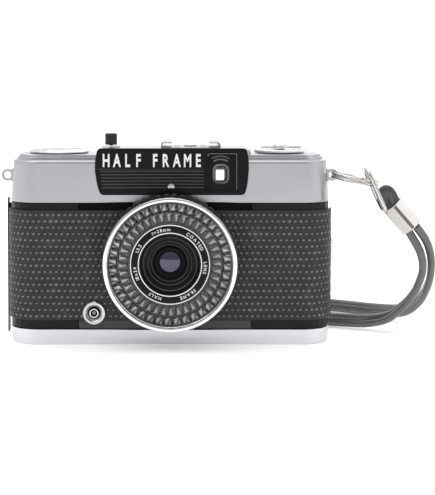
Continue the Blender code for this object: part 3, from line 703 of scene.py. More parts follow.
# where each thing's axis stands
LENS = (0, 0, 29.5)
SOCKET = (-26.2, 0, 11.1)
COUNTER = (-39.4, 0.2, 0)
RELEASE = (-20.8, -3.0, 0)
REWIND = (39.1, 0.2, 0)
WHEEL = (-36.0, 5.2, 0)
SHOE = (7.25, 0.2, 0)
TRIPOD = (-12.0, 0, 0)
REWIND_BUTTON = (20.0, 2.0, 0)
BODY_HALF = 56.0
FRONT_Y, BACK_Y = -14.25, 14.25
BAR_PITCH, ROW_PITCH = 1.96, 2.19
RELIEF = 0.26                   # how far the bars stand out


def emboss(along, up):
    """The covering's pattern, rows of rounded bars with every other row shifted.

    The result is the height and a painted highlight on the upper part of each bar, both from 0 to 1.
    """
    row = up / ROW_PITCH
    shift = 0.5 if math.floor(row) % 2 else 0.0
    cell = (along / BAR_PITCH + shift) % 1.0
    across = row % 1.0
    side = min(1.0, max(0.0, (0.5 - abs(cell - 0.5)) / 0.16))
    end = min(1.0, max(0.0, (0.5 - abs(across - 0.5)) / 0.14))
    pad = side * side * (3 - 2 * side) * end * end * (3 - 2 * end)
    # painted highlight on the upper part of each bar, where light from above falls
    edge = max(0.0, 1.0 - abs(cell - 0.5) / 0.34) * max(0.0, 1.0 - abs(across - 0.7) / 0.22)
    return pad * (0.8 + 0.2 * math.cos((cell - 0.5) * 2.2)), edge


def embossed_sheet(path, up_low, up_high, step, holes=()):
    """A thin sheet along a path of (x, y) in plan, raised outwards by the embossed pattern.

    step is the size of its faces, and each hole is (x, z, radius).
    """
    points, distance = [], [0.0]
    for a, b in zip(path, path[1:]):
        distance.append(distance[-1] + math.dist(a, b))
    count = round(distance[-1] / step)
    segment = 0
    for n in range(count + 1):
        run = distance[-1] * n / count
        while segment < len(path) - 2 and distance[segment + 1] < run:
            segment += 1
        part = (run - distance[segment]) / (distance[segment + 1] - distance[segment])
        a, b = Vector(path[segment]), Vector(path[segment + 1])
        tangent = (b - a).normalized()
        points.append((run, a.lerp(b, part), Vector((tangent.y, -tangent.x))))
    rows = round((up_high - up_low) / step)
    shape = bmesh.new()
    painted_bar_highlight = shape.verts.layers.float.new("painted_bar_highlight")
    grid = []
    for n in range(rows + 1):
        up = up_low + (up_high - up_low) * n / rows
        line = []
        for run, spot, out in points:
            rim = min(run, distance[-1] - run, up - up_low, up_high - up)
            pad, edge = emboss(run - distance[-1] / 2, up - up_low)
            height = RELIEF * pad * min(1.0, rim / 0.5) - 0.12 * max(0, 1 - rim / 0.4)
            vertex = shape.verts.new((spot.x + out.x * height, spot.y + out.y * height, up))
            # the painted highlight, kept for the covering's colour
            vertex[painted_bar_highlight] = edge
            line.append(vertex)
        grid.append(line)
    for lower, upper in zip(grid, grid[1:]):
        for a, b, c, d in zip(lower, lower[1:], upper[1:], upper):
            middle = (a.co + c.co) / 2
            if any(math.hypot(middle.x - x, middle.z - z) < radius for x, z, radius in holes):
                continue
            shape.faces.new((a, b, c, d))
    for vertex in [v for v in shape.verts if not v.link_faces]:
        shape.verts.remove(vertex)
    return shape


def front_covering():
    """Down one end, round the corner, across the front and round to the other end."""
    full = rounded(-BODY_HALF - 0.55, BODY_HALF + 0.55, FRONT_Y, 30.0, 10.5, 14)
    left = [p for p in full if p[0] < 0 and p[1] < 0]
    right = [p for p in full if p[0] > 0 and p[1] < 0]
    path = [(-BODY_HALF - 0.55, -4.2), *left, *right, (BODY_HALF + 0.55, -4.2)]
    shape = embossed_sheet(path, 8.4, 46.6, 0.28, ((0.0, 29.5, 21.0), (SOCKET[0], SOCKET[2], 3.3)))
    thicken(piece("front_covering", shape, LEATHER, replaces="front_skin", smooth=180.0, clean=False), 0.0003)


def bore(radius, low, high, centre, steps=48):
    """A cutter for a round hole along Z."""
    return turned([(0.0, low), (radius, low), (radius, high), (0.0, high)], centre, steps=steps)


def top_plate():
    """The pressed top cover: taper, rounded shoulder, two low steps and the raised centre."""
    def outline(x, y, radius):
        return rounded(-x, x, FRONT_Y + y, BACK_Y - y, radius, 16)

    shoulder = 0.9
    edge = [(49.2, 54.9, 1.1, 8.9), (49.2, 55.8, 0.15, 9.9), (49.45, BODY_HALF, 0.0, 10.0)]
    steps = [(63.74, 53.9, 1.25, 8.8), (63.86, 53.72, 1.4, 8.6), (64.55, 53.62, 1.5, 8.5),
             (64.75, 53.5, 1.62, 8.4), (64.8, 53.25, 1.9, 8.2), (64.9, 53.05, 2.1, 8.0),
             (65.35, 52.95, 2.2, 7.9), (65.52, 52.85, 2.3, 7.8), (65.6, 52.6, 2.5, 7.6)]
    levels = [(z, outline(x, y, radius)) for z, x, y, radius in edge]
    levels += [(z, outline(BODY_HALF - 0.95 * (z - 49.4) / 13.4, 0.0, 10.0))
               for z in (49.65, 49.9, 53.0, 57.0, 61.0, 62.5, 62.8)]
    for step in range(1, 9):
        angle = math.radians(90 * step / 8)
        inset = shoulder * (1 - math.cos(angle))
        levels.append((62.8 + shoulder * math.sin(angle), outline(55.05 - inset, inset, 10 - inset)))
    levels += [(z, outline(x, y, radius)) for z, x, y, radius in steps]
    hump = [(65.2, 0.0), (66.8, 0.05), (67.1, 0.1), (67.35, 0.25), (67.52, 0.5), (67.6, 0.9)]
    hump_levels = [(z, rounded(-25.0 + i, 28.0 - i, -14.0 + i, 11.6 - i, 3.4 - i, 10)) for z, i in hump]
    cover = piece("top_plate", loft(levels), SATIN, replaces="top_cover", smooth=22.0)
    raised = piece("top_hump", loft(hump_levels), SATIN, smooth=22.0)
    cut_away(cover, cuboid((12.7, -30.0, 53.3), (23.2, 30.0, 65.0)),
             prism(rounded(-46.2, -25.8, 49.5, 54.7, 1.2, 5), 10.0, 30.0, "Y"),
             bore(10.8, 48.0, 54.7, WHEEL, 96))
    cut_away(raised, bore(2.5, 60.0, 70.0, RELEASE), cuboid((12.7, -30.0, 53.3), (23.2, 30.0, 65.5)))


def base():
    """The base plate with its two screws, the tripod bush and the rewind release button."""
    def outline(inset):
        return rounded(-BODY_HALF + inset, BODY_HALF - inset, FRONT_Y + inset * 0.5, BACK_Y - inset * 0.5,
                       10 - inset, 16)

    insets = [(0.0, 1.15), (0.1, 0.75), (0.35, 0.48), (0.9, 0.34), (3.0, 0.15), (4.8, 0.0), (5.05, 0.0),
              (5.2, 0.18)]
    screws = (("left", -46.0), ("right", 46.0))
    levels = [(z, outline(inset)) for z, inset in insets]
    # plating painted lighter than the top plate's: painted light
    plate = piece("base_shell", loft(levels), BASE_SATIN, replaces="base_plate", smooth=25.0)
    cut_away(plate, bore(5.2, -3.0, 5.1, TRIPOD, 96), bore(2.9, -3.0, 5.1, REWIND_BUTTON),
             *[bore(1.9, -3.0, 0.9, (x, 0, 0), 40) for _, x in screws])
    for side, x in screws:
        head = turned([(0.0, 0.02), (1.3, 0.08), (1.7, 0.3), (1.7, 0.8), (0.0, 0.8)], (x, 0, 0), steps=40)
        screw = piece(f"base_screw_{side}", head, STEEL)
        cut_away(screw, cuboid((x - 3, -0.22, -1), (x + 3, 0.22, 0.45)))
    bush = turned(soft_corners([(3.2, 0.05), (5.0, 0.05), (5.0, 5.0), (3.2, 5.0)], 0.25, 3), TRIPOD)
    piece("tripod_bush_turned", bush, STEEL, replaces="tripod_bush")
    cup = [(0.0, 1.1), (1.5, 0.9), (2.1, 0.5), (2.45, 0.55), (2.5, 0.7), (2.5, 4.2), (0.0, 4.2)]
    piece("rewind_release_turned", turned(cup, REWIND_BUTTON, steps=48), SATIN, "rewind_release",
          "rewind_release_button")


# ---------------------------------------------------------------- lens

def around(angle, radius, depth):
    """A point on the lens: angle clockwise from the top as seen from the front, in degrees."""
    turn = math.radians(angle)
    return Vector((radius * math.sin(turn), depth, LENS[2] + radius * math.cos(turn)))


def prism_ring():
    """The clear ring over the light cell: two rows of roof-shaped prisms, with painted light on one side of
    each and a small painted highlight at each division.
    """
    ground = [(13.75, -24.7), (13.75, -25.3), (14.1, -25.3), (14.3, -25.1), (17.3, -25.1), (17.5, -25.5),
              (17.75, -25.5), (17.95, -25.1), (20.5, -25.1), (20.7, -25.6), (20.95, -25.6), (20.95, -24.7)]
    piece("prism_ground", turned(ground, LENS, "Y", 160), PRISM, replaces="prism_window", smooth=20.0)
    lit, dim = bmesh.new(), bmesh.new()
    divisions = 40
    valley, ridge = -25.05, -25.85
    rows = (  # inner and outer radius, half widths in degrees at each, shift in divisions
        (14.35, 17.3, 1.5, 4.3, 0.0), (17.95, 20.5, 4.3, 2.4, 0.5),
    )
    for step in range(divisions):
        for inner, outer, width_in, width_out, shift in rows:
            angle = 360.0 * (step + shift) / divisions
            ridge_in, ridge_out = around(angle, inner + 0.5, ridge), around(angle, outer - 0.5, ridge)
            left_in, right_in = (around(angle + side * width_in, inner, valley) for side in (-1, 1))
            left_out, right_out = (around(angle + side * width_out, outer, valley) for side in (-1, 1))
            for shape, corners in ((lit, (left_in, left_out, ridge_out, ridge_in)),
                                   (dim, (right_out, right_in, ridge_in, ridge_out)),
                                   (lit, (left_out, right_out, ridge_out)),
                                   (dim, (right_in, left_in, ridge_in))):
                shape.faces.new([shape.verts.new(corner) for corner in corners])
        # a small painted highlight at each division
        tick = 360.0 * step / divisions
        corners = (around(tick - 0.7, 20.5, -25.3), around(tick + 0.7, 20.5, -25.3),
                   around(tick, 18.9, -25.75))
        lit.faces.new([lit.verts.new(corner) for corner in corners])
    for name, shape, finish in (("prism_painted_lit_sides", lit, PRISM_PAINTED_LIT), ("prism_dim_sides", dim, PRISM)):
        thicken(piece(name, shape, finish, smooth=1.0), 0.00004, 0.0)


def light_cell():
    """The dull disc under the prisms."""
    disc = [(13.75, -24.4), (20.85, -24.4), (20.85, -23.6), (13.75, -23.6)]
    piece("cell_disc", turned(disc, LENS, "Y", 80), CELL, replaces="light_cell")


def rim_and_rings():
    """The bright rim with its filter thread, the scalloped aperture ring and the film speed ring."""
    rim = [(19.9, -21.9), (22.1, -21.9), (22.55, -22.2), (22.65, -22.8), (22.65, -26.5), (22.6, -26.85),
           (22.45, -27.12), (22.2, -27.24), (21.5, -27.25), (21.25, -27.15), (21.12, -26.9), (21.1, -26.5)]
    threads = []
    for turn in range(5):
        start = -26.4 + turn * 0.3
        threads += [(21.1, start), (21.25, start + 0.15)]
    profile = [*rim, *threads, (21.05, -24.8), (21.05, -23.2), (19.9, -23.2)]
    piece("filter_rim", turned(profile, LENS, "Y", 144), BRIGHT, replaces="front_rim", smooth=28.0)

    def scallop(radius, height, angle):
        if radius < 22.0:
            return radius
        wave = abs(math.sin(angle * 26))
        return radius - 0.8 * (1 - wave ** 0.55)

    ring = soft_corners([(19.9, -21.6), (23.4, -21.6), (23.4, -18.25), (19.9, -18.25)], 0.3, 3)
    piece("scalloped_ring", turned(ring, LENS, "Y", 520, scallop), SCALLOP, "aperture_control",
          "aperture_ring", smooth=30.0)

    speed = [(19.9, -17.95), (21.3, -17.95), (21.6, -17.6), (21.6, -16.4), (21.3, -16.1), (21.0, -15.0),
             (19.9, -15.0)]
    piece("speed_ring", turned(speed, LENS, "Y", 480, ribs(0.2, 120, 21.4, -17.6, -16.4)), BLACK,
          "film_speed_control", "film_speed_ring", smooth=30.0)


def name_ring():
    """The black ring round the glass: stepped cone, two white lines and white lettering."""
    cone = [(13.45, -23.5), (13.68, -23.5), (13.68, -25.5), (13.5, -25.72), (13.2, -25.8), (10.3, -25.8),
            (9.95, -25.7), (9.75, -25.4)]
    steps = 7
    for step in range(steps):
        radius = 9.6 - (9.6 - 5.3) * step / steps
        depth = -25.0 + 4.6 * step / steps
        cone += [(radius, depth), (radius - 0.12, depth + 0.42)]
    cone += [(5.3, -20.4), (5.3, -16.6), (12.7, -16.6), (12.7, -23.5)]
    piece("name_ring_turned", turned(cone, LENS, "Y", 128), BLACK, replaces="name_ring", smooth=20.0)
    for label, radius in (("outer", 13.28), ("inner", 10.62)):
        inner, outer = radius - 0.17, radius + 0.17
        line = [(inner, -25.86), (outer, -25.86), (outer, -25.78), (inner, -25.78)]
        piece(f"name_ring_{label}_line", turned(line, LENS, "Y", 128), INK)
    words = (("1:3.5", -62.0), ("f=28mm", -14.0), ("COATED", 48.0), ("LENS", 96.0), ("HALF", -154.0),
             ("FRAME", 150.0), ("18x24", -104.0))
    size, spacing, foot, middle, face = 1.55, 1.25, 11.35, 11.9, -25.84
    for index, (text, bearing) in enumerate(words):
        _, width = letters(text, size, lambda advance: Matrix.Identity(4), spacing=spacing)

        def put(advance, bearing=bearing, width=width):
            angle = bearing + math.degrees((advance - width / 2) / middle)
            stand = Matrix.Rotation(math.radians(90), 4, 'X')
            lean = Matrix.Rotation(math.radians(angle), 4, 'Y')
            spot = around(angle, foot, face)
            return Matrix.Translation(spot) @ lean @ stand

        shape, _ = letters(text, size, put, depth=0.03, spacing=spacing)
        piece(f"name_ring_text_{index}", shape, INK, clean=False)


def lens_glass():
    """The front glass in its retainer, the rear glass, and three fine painted highlights on the cone's steps.
    """
    front = [(0.0, -18.4), (5.05, -18.4), (5.05, -19.3)]
    for step in range(1, 13):
        radius = 5.0 * (1 - step / 12)
        front.append((radius, -20.35 + (radius / 5.0) ** 2))
    retainer = [(3.75, -20.45), (4.0, -20.7), (5.2, -20.9), (5.35, -20.6), (5.35, -19.5), (5.1, -19.4),
                (3.9, -20.2)]
    piece("front_glass_retainer", turned(retainer, LENS, "Y", 80), MATT_BLACK, smooth=30.0)
    piece("front_glass", turned(front, LENS, "Y", 64), COATED, replaces="front_element", smooth=60.0)
    rear = [(0.0, -11.9), (5.1, -11.9), (5.1, -11.0), (4.0, -10.6), (2.5, -10.3), (0.0, -10.2)]
    piece("rear_glass", turned(rear, LENS, "Y", 64), CLEAR, replaces="rear_element", smooth=60.0)
    # painted highlight lines on three of the cone's steps
    for index, radius in enumerate((8.9, 7.3, 6.2)):
        depth = -25.0 + 4.6 * (9.6 - radius) / 4.3
        line = [(radius, depth - 0.02), (radius + 0.12, depth - 0.16), (radius + 0.14, depth + 0.1)]
        piece(f"cone_step_highlight_{index}", turned(line, LENS, "Y", 96), HIGHLIGHT_LINES)


def flash_socket():
    """The flash lead's socket: a notched washer round a tube with a pin."""
    washer = [(2.45, -14.6), (4.0, -14.6), (4.0, -15.15), (3.75, -15.5), (3.0, -15.5), (2.45, -14.95)]
    shape = turned(soft_corners(washer, 0.12, 3), SOCKET, "Y", 80)
    ring = piece("flash_washer", shape, NICKEL, replaces="flash_socket_ring", smooth=25.0)
    x, _, z = SOCKET
    notches = [rounded(x - 0.35, x + 0.35, z + side - 0.45, z + side + 0.45, 0.2, 3)
               for side in (-3.95, 3.95)]
    cut_away(ring, *[prism(notch, -16.0, -15.0, "Y") for notch in notches])
    recess = [(1.95, -14.2), (2.4, -14.8), (3.0, -15.4), (2.6, -14.2), (2.3, -13.4), (1.95, -13.4)]
    piece("flash_recess", turned(recess, SOCKET, "Y", 64), NICKEL, smooth=30.0)
    insulator = [(1.6, -14.4), (2.0, -14.4), (2.3, -9.0), (1.6, -9.0)]
    piece("flash_insulator", turned(insulator, SOCKET, "Y", 48), MATT_BLACK)
    tube = soft_corners([(1.15, -15.35), (1.6, -15.35), (1.6, -9.2), (1.15, -9.2)], 0.1, 2)
    piece("flash_tube", turned(tube, SOCKET, "Y", 48), SPUN, replaces="flash_socket_core")
    pin = [(0.0, -9.2), (0.62, -9.2), (0.62, -14.9), (0.5, -15.05), (0.28, -15.05), (0.26, -13.5),
           (0.0, -13.5)]
    piece("flash_pin", turned(pin, SOCKET, "Y", 32), STEEL)
    piece("flash_well", turned([(0.66, -12.2), (1.12, -12.2), (1.12, -11.8), (0.66, -11.8)], SOCKET, "Y", 32),
          MATT_BLACK)


# ---------------------------------------------------------------- faceplate and finder

FINDER_PANEL = rounded(12.7, 23.3, 53.1, 66.6, 0.8, 5)


def faceplate():
    """The black plate round the finder window: bowed ends, ribbed lower field, white lettering."""
    outline = [(25.7, 51.9), (26.6, 55.5), (27.1, 60.5), (27.05, 64.0), (26.4, 68.0),
               (-24.9, 68.0), (-25.75, 64.0), (-25.8, 60.5), (-25.1, 55.5), (-23.9, 51.9)]
    shape = prism(soft_corners(outline, 1.3, 5), -15.4, -14.55, "Y")
    plate = piece("faceplate_plate", shape, BLACK, replaces="faceplate", smooth=25.0, bevel=0.16)
    cut_away(plate, prism(FINDER_PANEL, -17.0, -13.0, "Y"),
             prism(rounded(-24.3, 12.0, 53.75, 60.75, 0.4, 4), -17.0, -15.2, "Y"))
    # the ribs' lighter enamel is a painted highlight on them
    for row in range(6):
        z = 54.5 + 1.12 * row
        inset = 0.9 - 0.17 * row
        bar = prism(rounded(-24.2 + inset, 11.6, z - 0.31, z + 0.31, 0.29, 4), -15.55, -15.1, "Y")
        piece(f"faceplate_rib_{row}", bar, RIB, smooth=25.0, bevel=0.17, segments=3)
    border = prism(rounded(-24.9, 12.2, 60.72, 60.95, 0.1, 2), -15.5, -15.3, "Y")
    piece("faceplate_rib_border", border, RIB, bevel=0.05)
    squeeze = Matrix.Diagonal((0.60, 1.0, 1.0, 1.0))
    stand = Matrix.Rotation(math.radians(90), 4, 'X')
    for index, letter in enumerate("HALF FRAME"):
        if letter == " ":
            continue
        column = index if index < 4 else index - 0.45
        spot = Matrix.Translation((-21.9 + 3.7 * column, -15.43, 61.75))
        put = spot @ stand @ squeeze
        shape, _ = letters(letter, 6.1, lambda advance, put=put: put, depth=0.04, bold=0.03)
        piece(f"faceplate_letter_{index}", shape, INK, clean=False)
    head = [(0.0, -15.95), (0.7, -15.9), (1.05, -15.75), (1.2, -15.5), (1.2, -14.9), (0.0, -14.9)]
    screw = piece("faceplate_screw_head", turned(head, (0.4, 0, 54.8), "Y", 40), SPUN,
                  replaces="faceplate_screw")
    cut_away(screw, cuboid((-1.5, -17.0, 54.64), (2.3, -15.62, 54.96)))


def finder():
    """The window's panel and raised mount, painted highlight lines and painted reflection arcs round it, the
    mask inside and the eyepiece.
    """
    panel = piece("finder_panel", prism(FINDER_PANEL, -14.3, -13.7, "Y"), BLACK, bevel=0.1)
    cut_away(panel, prism(rounded(15.3, 19.7, 56.4, 61.4, 1.0, 5), -17.0, -12.0, "Y"))
    lip = [(-13.8, 0.0), (-14.9, 0.0), (-15.1, -0.15), (-15.2, -0.4), (-15.1, -0.75), (-13.8, -1.0)]
    ring = bmesh.new()
    rings = []
    for depth, grow in lip:
        outline = rounded(14.6 - grow, 20.4 + grow, 55.7 - grow, 62.7 + grow, max(0.5, 2.3 + grow), 8)
        rings.append([ring.verts.new((x, depth, z)) for x, z in outline])
    for one, two in zip(rings, rings[1:] + rings[:1]):
        bridge(ring, one, two)
    piece("finder_mount", ring, MOUNT, smooth=35.0)
    # painted highlight lines along the panel's top and sides
    frame_line = [cuboid((13.0, -15.35, 66.05), (23.0, -15.05, 66.25)),
                  cuboid((22.75, -15.35, 53.6), (22.95, -15.05, 66.2)),
                  cuboid((13.0, -15.35, 65.2), (13.2, -15.05, 66.2))]
    piece("finder_frame_highlight", merge(*frame_line), HIGHLIGHT_LINES, bevel=0.04)
    # two arcs above the window: painted reflection ring of the finder lens
    for index, (reach, wide) in enumerate(((4.6, 0.28), (5.7, 0.2))):
        arc = bmesh.new()
        section = ((-wide, 0.2), (wide, 0.2), (wide, -0.1), (-wide, -0.1))
        rings = []
        for step in range(17):
            angle = math.radians(58 + 64 * step / 16)
            rings.append([arc.verts.new((17.4 + (reach + a) * math.cos(angle), -14.5 + b,
                                         59.6 + (reach + a) * math.sin(angle))) for a, b in section])
        for one, two in zip(rings, rings[1:]):
            bridge(arc, one, two)
        arc.faces.new(rings[0])
        arc.faces.new(rings[-1][::-1])
        piece(f"finder_painted_reflection_arc_{index}", arc, MOUNT, bevel=0.05)
    mask = piece("finder_mask", prism(rounded(13.95, 21.95, 54.55, 64.25, 0.4, 3), 7.8, 8.4, "Y"), MATT_BLACK)
    cut_away(mask, prism(rounded(16.65, 19.7, 55.25, 59.05, 0.3, 3), 7.0, 9.3, "Y"))
    shape = prism(rounded(11.6, 24.2, 52.6, 65.6, 2.0, 8), 14.55, 15.4, "Y")
    eyepiece = piece("eyepiece_surround", shape, BLACK, replaces="eyepiece_frame", smooth=25.0, bevel=0.3,
                     segments=3)
    cut_away(eyepiece, prism(rounded(14.6, 21.3, 54.2, 62.4, 1.0, 6), 13.0, 17.0, "Y"))


# ---------------------------------------------------------------- top controls

def hot_shoe():
    """Bent sheet: a floor and two side walls that fold over into lips."""
    half = [(-10.4, 67.62), (-10.4, 69.1), (-10.2, 69.5), (-9.75, 69.76), (-9.2, 69.82), (-6.6, 69.78),
            (-6.6, 69.36), (-9.1, 69.38), (-9.6, 69.3), (-9.86, 69.1), (-9.92, 68.8), (-9.92, 67.98)]
    outline = [(SHOE[0] + x, z) for x, z in half] + [(SHOE[0] - x, z) for x, z in half[::-1]]
    shoe = piece("hot_shoe_sheet", prism(outline, -9.0, 8.6, "Y"), STEEL, replaces="hot_shoe", smooth=35.0,
                 bevel=0.08)
    cut_away(shoe, cuboid((-3.6, -9.5, 67.0), (-0.6, -7.6, 68.2)),
             cuboid((15.1, -9.5, 67.0), (18.1, -7.6, 68.2)))
    for index, y in enumerate((-4.2, 4.6)):
        for x in (2.6, 11.9):
            head = [(0.0, 68.3), (0.8, 68.25), (1.15, 68.05), (1.15, 67.9), (0.0, 67.9)]
            screw = piece(f"shoe_screw_{index}_{x:.0f}", turned(head, (x, y, 0), steps=32), STEEL)
            cut_away(screw, cuboid((x - 2, y - 0.12, 68.12), (x + 2, y + 0.12, 69)))
    contact = [(0.0, 68.5), (0.9, 68.47), (1.2, 68.3), (1.3, 68.05), (1.3, 67.7), (0.0, 67.7)]
    piece("shoe_contact", turned(contact, SHOE, steps=40), BRASS, replaces="hot_shoe_contact")
    collar = [(1.35, 68.2), (2.3, 68.2), (2.4, 68.1), (2.4, 67.8), (1.35, 67.8)]
    piece("shoe_insulator", turned(collar, SHOE, steps=40), MATT_BLACK)


def counter():
    """The film counter: bezel and glass, and the dial that turns under them with its numbers."""
    bezel = [(7.7, 65.9), (10.5, 65.9), (10.55, 66.25), (10.4, 66.4), (9.9, 66.55), (8.7, 67.0), (8.45, 67.1),
             (8.05, 67.1), (7.85, 66.98), (7.7, 66.7)]
    piece("counter_bezel_turned", turned(bezel, COUNTER, "Z", 360, ribs(0.16, 90, 10.2)), SPUN,
          replaces="counter_bezel", smooth=25.0)
    glass = [(0.0, 67.05), (5.0, 67.0), (7.2, 66.92), (7.6, 66.85), (7.6, 66.6), (0.0, 66.6)]
    piece("counter_glass", turned(glass, COUNTER, "Z", 72), CLEAR, replaces="counter_window")
    disc = [(0.0, 66.2), (7.5, 66.2), (7.6, 66.1), (7.6, 65.9), (0.0, 65.9)]
    piece("counter_disc", turned(disc, COUNTER, "Z", 72), BLACK, "counter", "counter_dial")
    for index in range(9):
        number = str(index * 9)
        _, width = letters(number, 1.9, lambda advance: Matrix.Identity(4))
        angle = math.radians(-40 * index)
        spot = Vector((COUNTER[0], COUNTER[1], 66.22)) + Matrix.Rotation(angle, 3, 'Z') @ Vector((0, 4.7, 0))
        foot = Matrix.Translation(spot) @ Matrix.Rotation(angle, 4, 'Z')

        def put(advance, foot=foot, width=width):
            return foot @ Matrix.Translation((advance - width / 2, 0, 0))

        shape, _ = letters(number, 1.9, put, depth=0.02)
        piece(f"counter_number_{index}", shape, INK, "counter", clean=False)
    ticks = bmesh.new()
    for step in range(72):
        inner = 6.5 if step % 4 else 6.1
        tick = cuboid((-0.08, inner, 66.2), (0.08, 7.1, 66.24))
        bmesh.ops.rotate(tick, verts=tick.verts, matrix=Matrix.Rotation(math.radians(5 * step), 3, 'Z'))
        bmesh.ops.translate(tick, verts=tick.verts, vec=COUNTER)
        ticks = merge(ticks, tick)
    piece("counter_ticks", ticks, INK, "counter")
    pointer = prism([(-0.5, 7.55), (0.5, 7.55), (0.0, 6.2)], 66.42, 66.5)
    bmesh.ops.translate(pointer, verts=pointer.verts, vec=COUNTER)
    piece("counter_pointer", pointer, RED)


def release():
    """The shutter button in its collar, and the knurled soft release screwed into it."""
    collar = [(2.5, 67.5), (3.2, 67.5), (3.2, 68.2), (3.0, 68.45), (2.7, 68.5), (2.5, 68.35)]
    piece("release_collar_turned", turned(collar, RELEASE, "Z", 64), SPUN, replaces="release_collar",
          smooth=25.0)
    button = [(0.0, 67.85), (1.5, 67.85), (2.0, 67.75), (2.1, 67.6), (2.1, 61.2), (0.0, 61.2)]
    piece("release_button", turned(button, RELEASE, "Z", 48), SPUN, "release", "shutter_button")

    cap = [(0.0, 72.3), (0.7, 72.32), (1.3, 72.5), (1.7, 72.7), (1.9, 72.7), (2.1, 72.45), (2.1, 72.3),
           (2.1, 69.0), (2.1, 68.9), (1.9, 68.7), (0.65, 68.65), (0.6, 68.1), (0.0, 68.1)]
    piece("soft_release_turned", turned(cap, RELEASE, "Z", 204, ribs(0.13, 34, 1.95, 68.95, 72.35)), KNURL,
          "release", "soft_release", smooth=25.0)


def rewind():
    """The rewind knob, and the crank that folds out of it."""
    knob = [(2.5, 65.9), (8.7, 65.9), (9.05, 66.05), (9.1, 66.25), (9.1, 66.7), (8.9, 66.9), (8.5, 66.95),
            (8.3, 66.8), (8.2, 66.55), (5.6, 66.5), (5.3, 66.6), (5.1, 66.85), (2.6, 66.85), (2.5, 66.7)]
    piece("rewind_knob_turned", turned(knob, REWIND, "Z", 360, ribs(0.18, 72, 8.9)), BRIGHT, "rewinder",
          "rewind_knob", smooth=25.0)
    cap = [(0.0, 67.0), (1.9, 67.0), (2.45, 66.85), (2.45, 66.5), (0.0, 66.5)]
    shaft = piece("rewind_shaft_cap", turned(cap, REWIND, "Z", 48), SPUN, "rewinder", smooth=30.0)
    cut_away(shaft, cuboid((36.0, -0.1, 66.85), (42.0, 0.5, 68.0)))
    arm = soft_corners([(37.6, -1.9), (38.6, -2.6), (40.2, -2.6), (41.8, -1.7), (44.6, -1.5), (46.4, -1.7),
                        (47.0, -0.9), (47.0, 1.3), (46.4, 2.1), (44.6, 1.9), (41.8, 2.1), (40.2, 3.0),
                        (38.6, 3.0), (37.6, 2.3), (34.0, 2.0), (32.4, 1.6), (32.2, 0.2), (32.4, -1.2),
                        (34.0, -1.6)], 0.7, 4)
    bar = piece("rewind_crank_arm", prism(arm, 67.3, 67.98), SPUN, "crank", "rewind_crank", smooth=30.0,
                bevel=0.15)
    cut_away(bar, prism(rounded(42.6, 45.6, -0.5, 0.9, 0.65, 5), 66.0, 69.0))
    hub = [(0.0, 68.42), (1.2, 68.44), (1.9, 68.5), (2.4, 68.42), (2.55, 68.2), (2.55, 67.4), (0.0, 67.4)]
    piece("rewind_crank_hub", turned(hub, REWIND, "Z", 56), SPUN, "crank", smooth=30.0)
    rivet = [(0.0, 68.2), (0.5, 68.15), (0.7, 67.98), (0.7, 67.9), (0.0, 67.9)]
    piece("rewind_crank_rivet", turned(rivet, (33.6, 0.2, 0), "Z", 32), STEEL, "crank")


def winding():
    """The thumbwheel at the back."""
    wheel = [(2.0, 49.6), (10.0, 49.6), (10.2, 49.9), (10.4, 50.1), (10.4, 53.9), (10.2, 54.1), (10.0, 54.4),
             (2.0, 54.4)]
    piece("winding_wheel_turned", turned(wheel, WHEEL, "Z", 480, ribs(0.42, 60, 10.0, 49.9, 54.1)), KNURL,
          "winder", "winding_wheel", smooth=30.0)


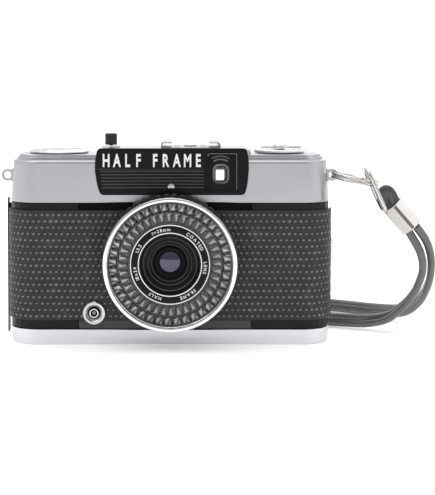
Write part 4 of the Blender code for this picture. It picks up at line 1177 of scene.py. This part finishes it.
def sprocket():
    """The film drum with its two rows of teeth."""
    centre = (-19.7, 4.6, 0)
    drum = [(0.0, 13.0), (4.4, 13.0), (4.6, 13.2), (4.6, 15.9), (4.4, 16.1), (3.9, 16.6), (3.9, 38.9),
            (4.4, 39.4), (4.6, 39.6), (4.6, 42.3), (4.4, 42.5), (0.0, 42.5)]
    shapes = [turned(drum, centre, "Z", 64)]
    for row in (14.5, 41.0):
        outline = [(-0.9, row - 0.7), (0.9, row - 0.7), (0.7, row + 0.7), (-0.7, row + 0.7)]
        for step in range(8):
            tooth = prism(outline, -5.3, -4.4, "Y")
            turn = Matrix.Rotation(math.radians(45 * step), 3, 'Z')
            bmesh.ops.rotate(tooth, verts=tooth.verts, matrix=turn)
            bmesh.ops.translate(tooth, verts=tooth.verts, vec=centre)
            shapes.append(tooth)
    piece("sprocket_drum", merge(*shapes), STEEL, "sprocket", "film_sprocket", smooth=30.0)


# ---------------------------------------------------------------- back and ends

def back():
    """The back door's covering, embossed as the front is, in the CAD panel's place."""
    path = [(47.0, 14.72), (-47.0, 14.72)]
    shape = embossed_sheet(path, 8.9, 46.7, 0.32)
    thicken(piece("back_covering", shape, LEATHER, "door", "back_skin", smooth=180.0, clean=False), 0.0002)


def latch():
    """The slider on the right end that holds the door: a plate with finger ribs."""
    plate = prism(rounded(-1.5, 2.5, 27.0, 36.0, 0.6, 5), 56.9, 57.6, "X")
    piece("latch_plate", plate, SPUN, "latch", "door_latch", bevel=0.15)
    for index in range(6):
        z = 28.6 + 1.16 * index
        rib = prism(rounded(-1.0, 2.0, z - 0.28, z + 0.28, 0.26, 4), 57.4, 58.1, "X")
        piece(f"latch_rib_{index}", rib, SPUN, "latch", smooth=30.0, bevel=0.2,
              segments=3)


def carried_over():
    """The CAD solids that stay in view, and those behind them, in their own finishes."""
    finishes = {
        APRON: ("front_apron", "back_door"),
        BAND: ("hinge_bracket", "body_casting"),
        MATT_BLACK: ("finder_tube", "lens_barrel", "shutter_plate", "shutter_blade_a", "shutter_blade_b",
                     "aperture_blade_a", "aperture_blade_b", "rewind_shaft", "take_up_spool"),
        SATIN: ("strap_lug_left", "strap_lug_right", "rewind_lift_ring"),
        SPUN: ("pressure_plate",),
        BRASS: ("meter_coil",),
        RED: ("meter_needle",),
        CLEAR: ("finder_front_lens", "finder_rear_lens", "middle_element"),
    }
    by_name = {name: finish for finish, names in finishes.items() for name in names}
    for name, node in NODES.items():
        for place in node.material_slots:
            place.material = by_name.get(name, STEEL)


stage_and_camera()
strap_cord()
strap_fittings()
front_covering()
top_plate()
base()
prism_ring()
light_cell()
rim_and_rings()
name_ring()
lens_glass()
flash_socket()
faceplate()
finder()
hot_shoe()
counter()
release()
rewind()
winding()
sprocket()
back()
latch()
carried_over()
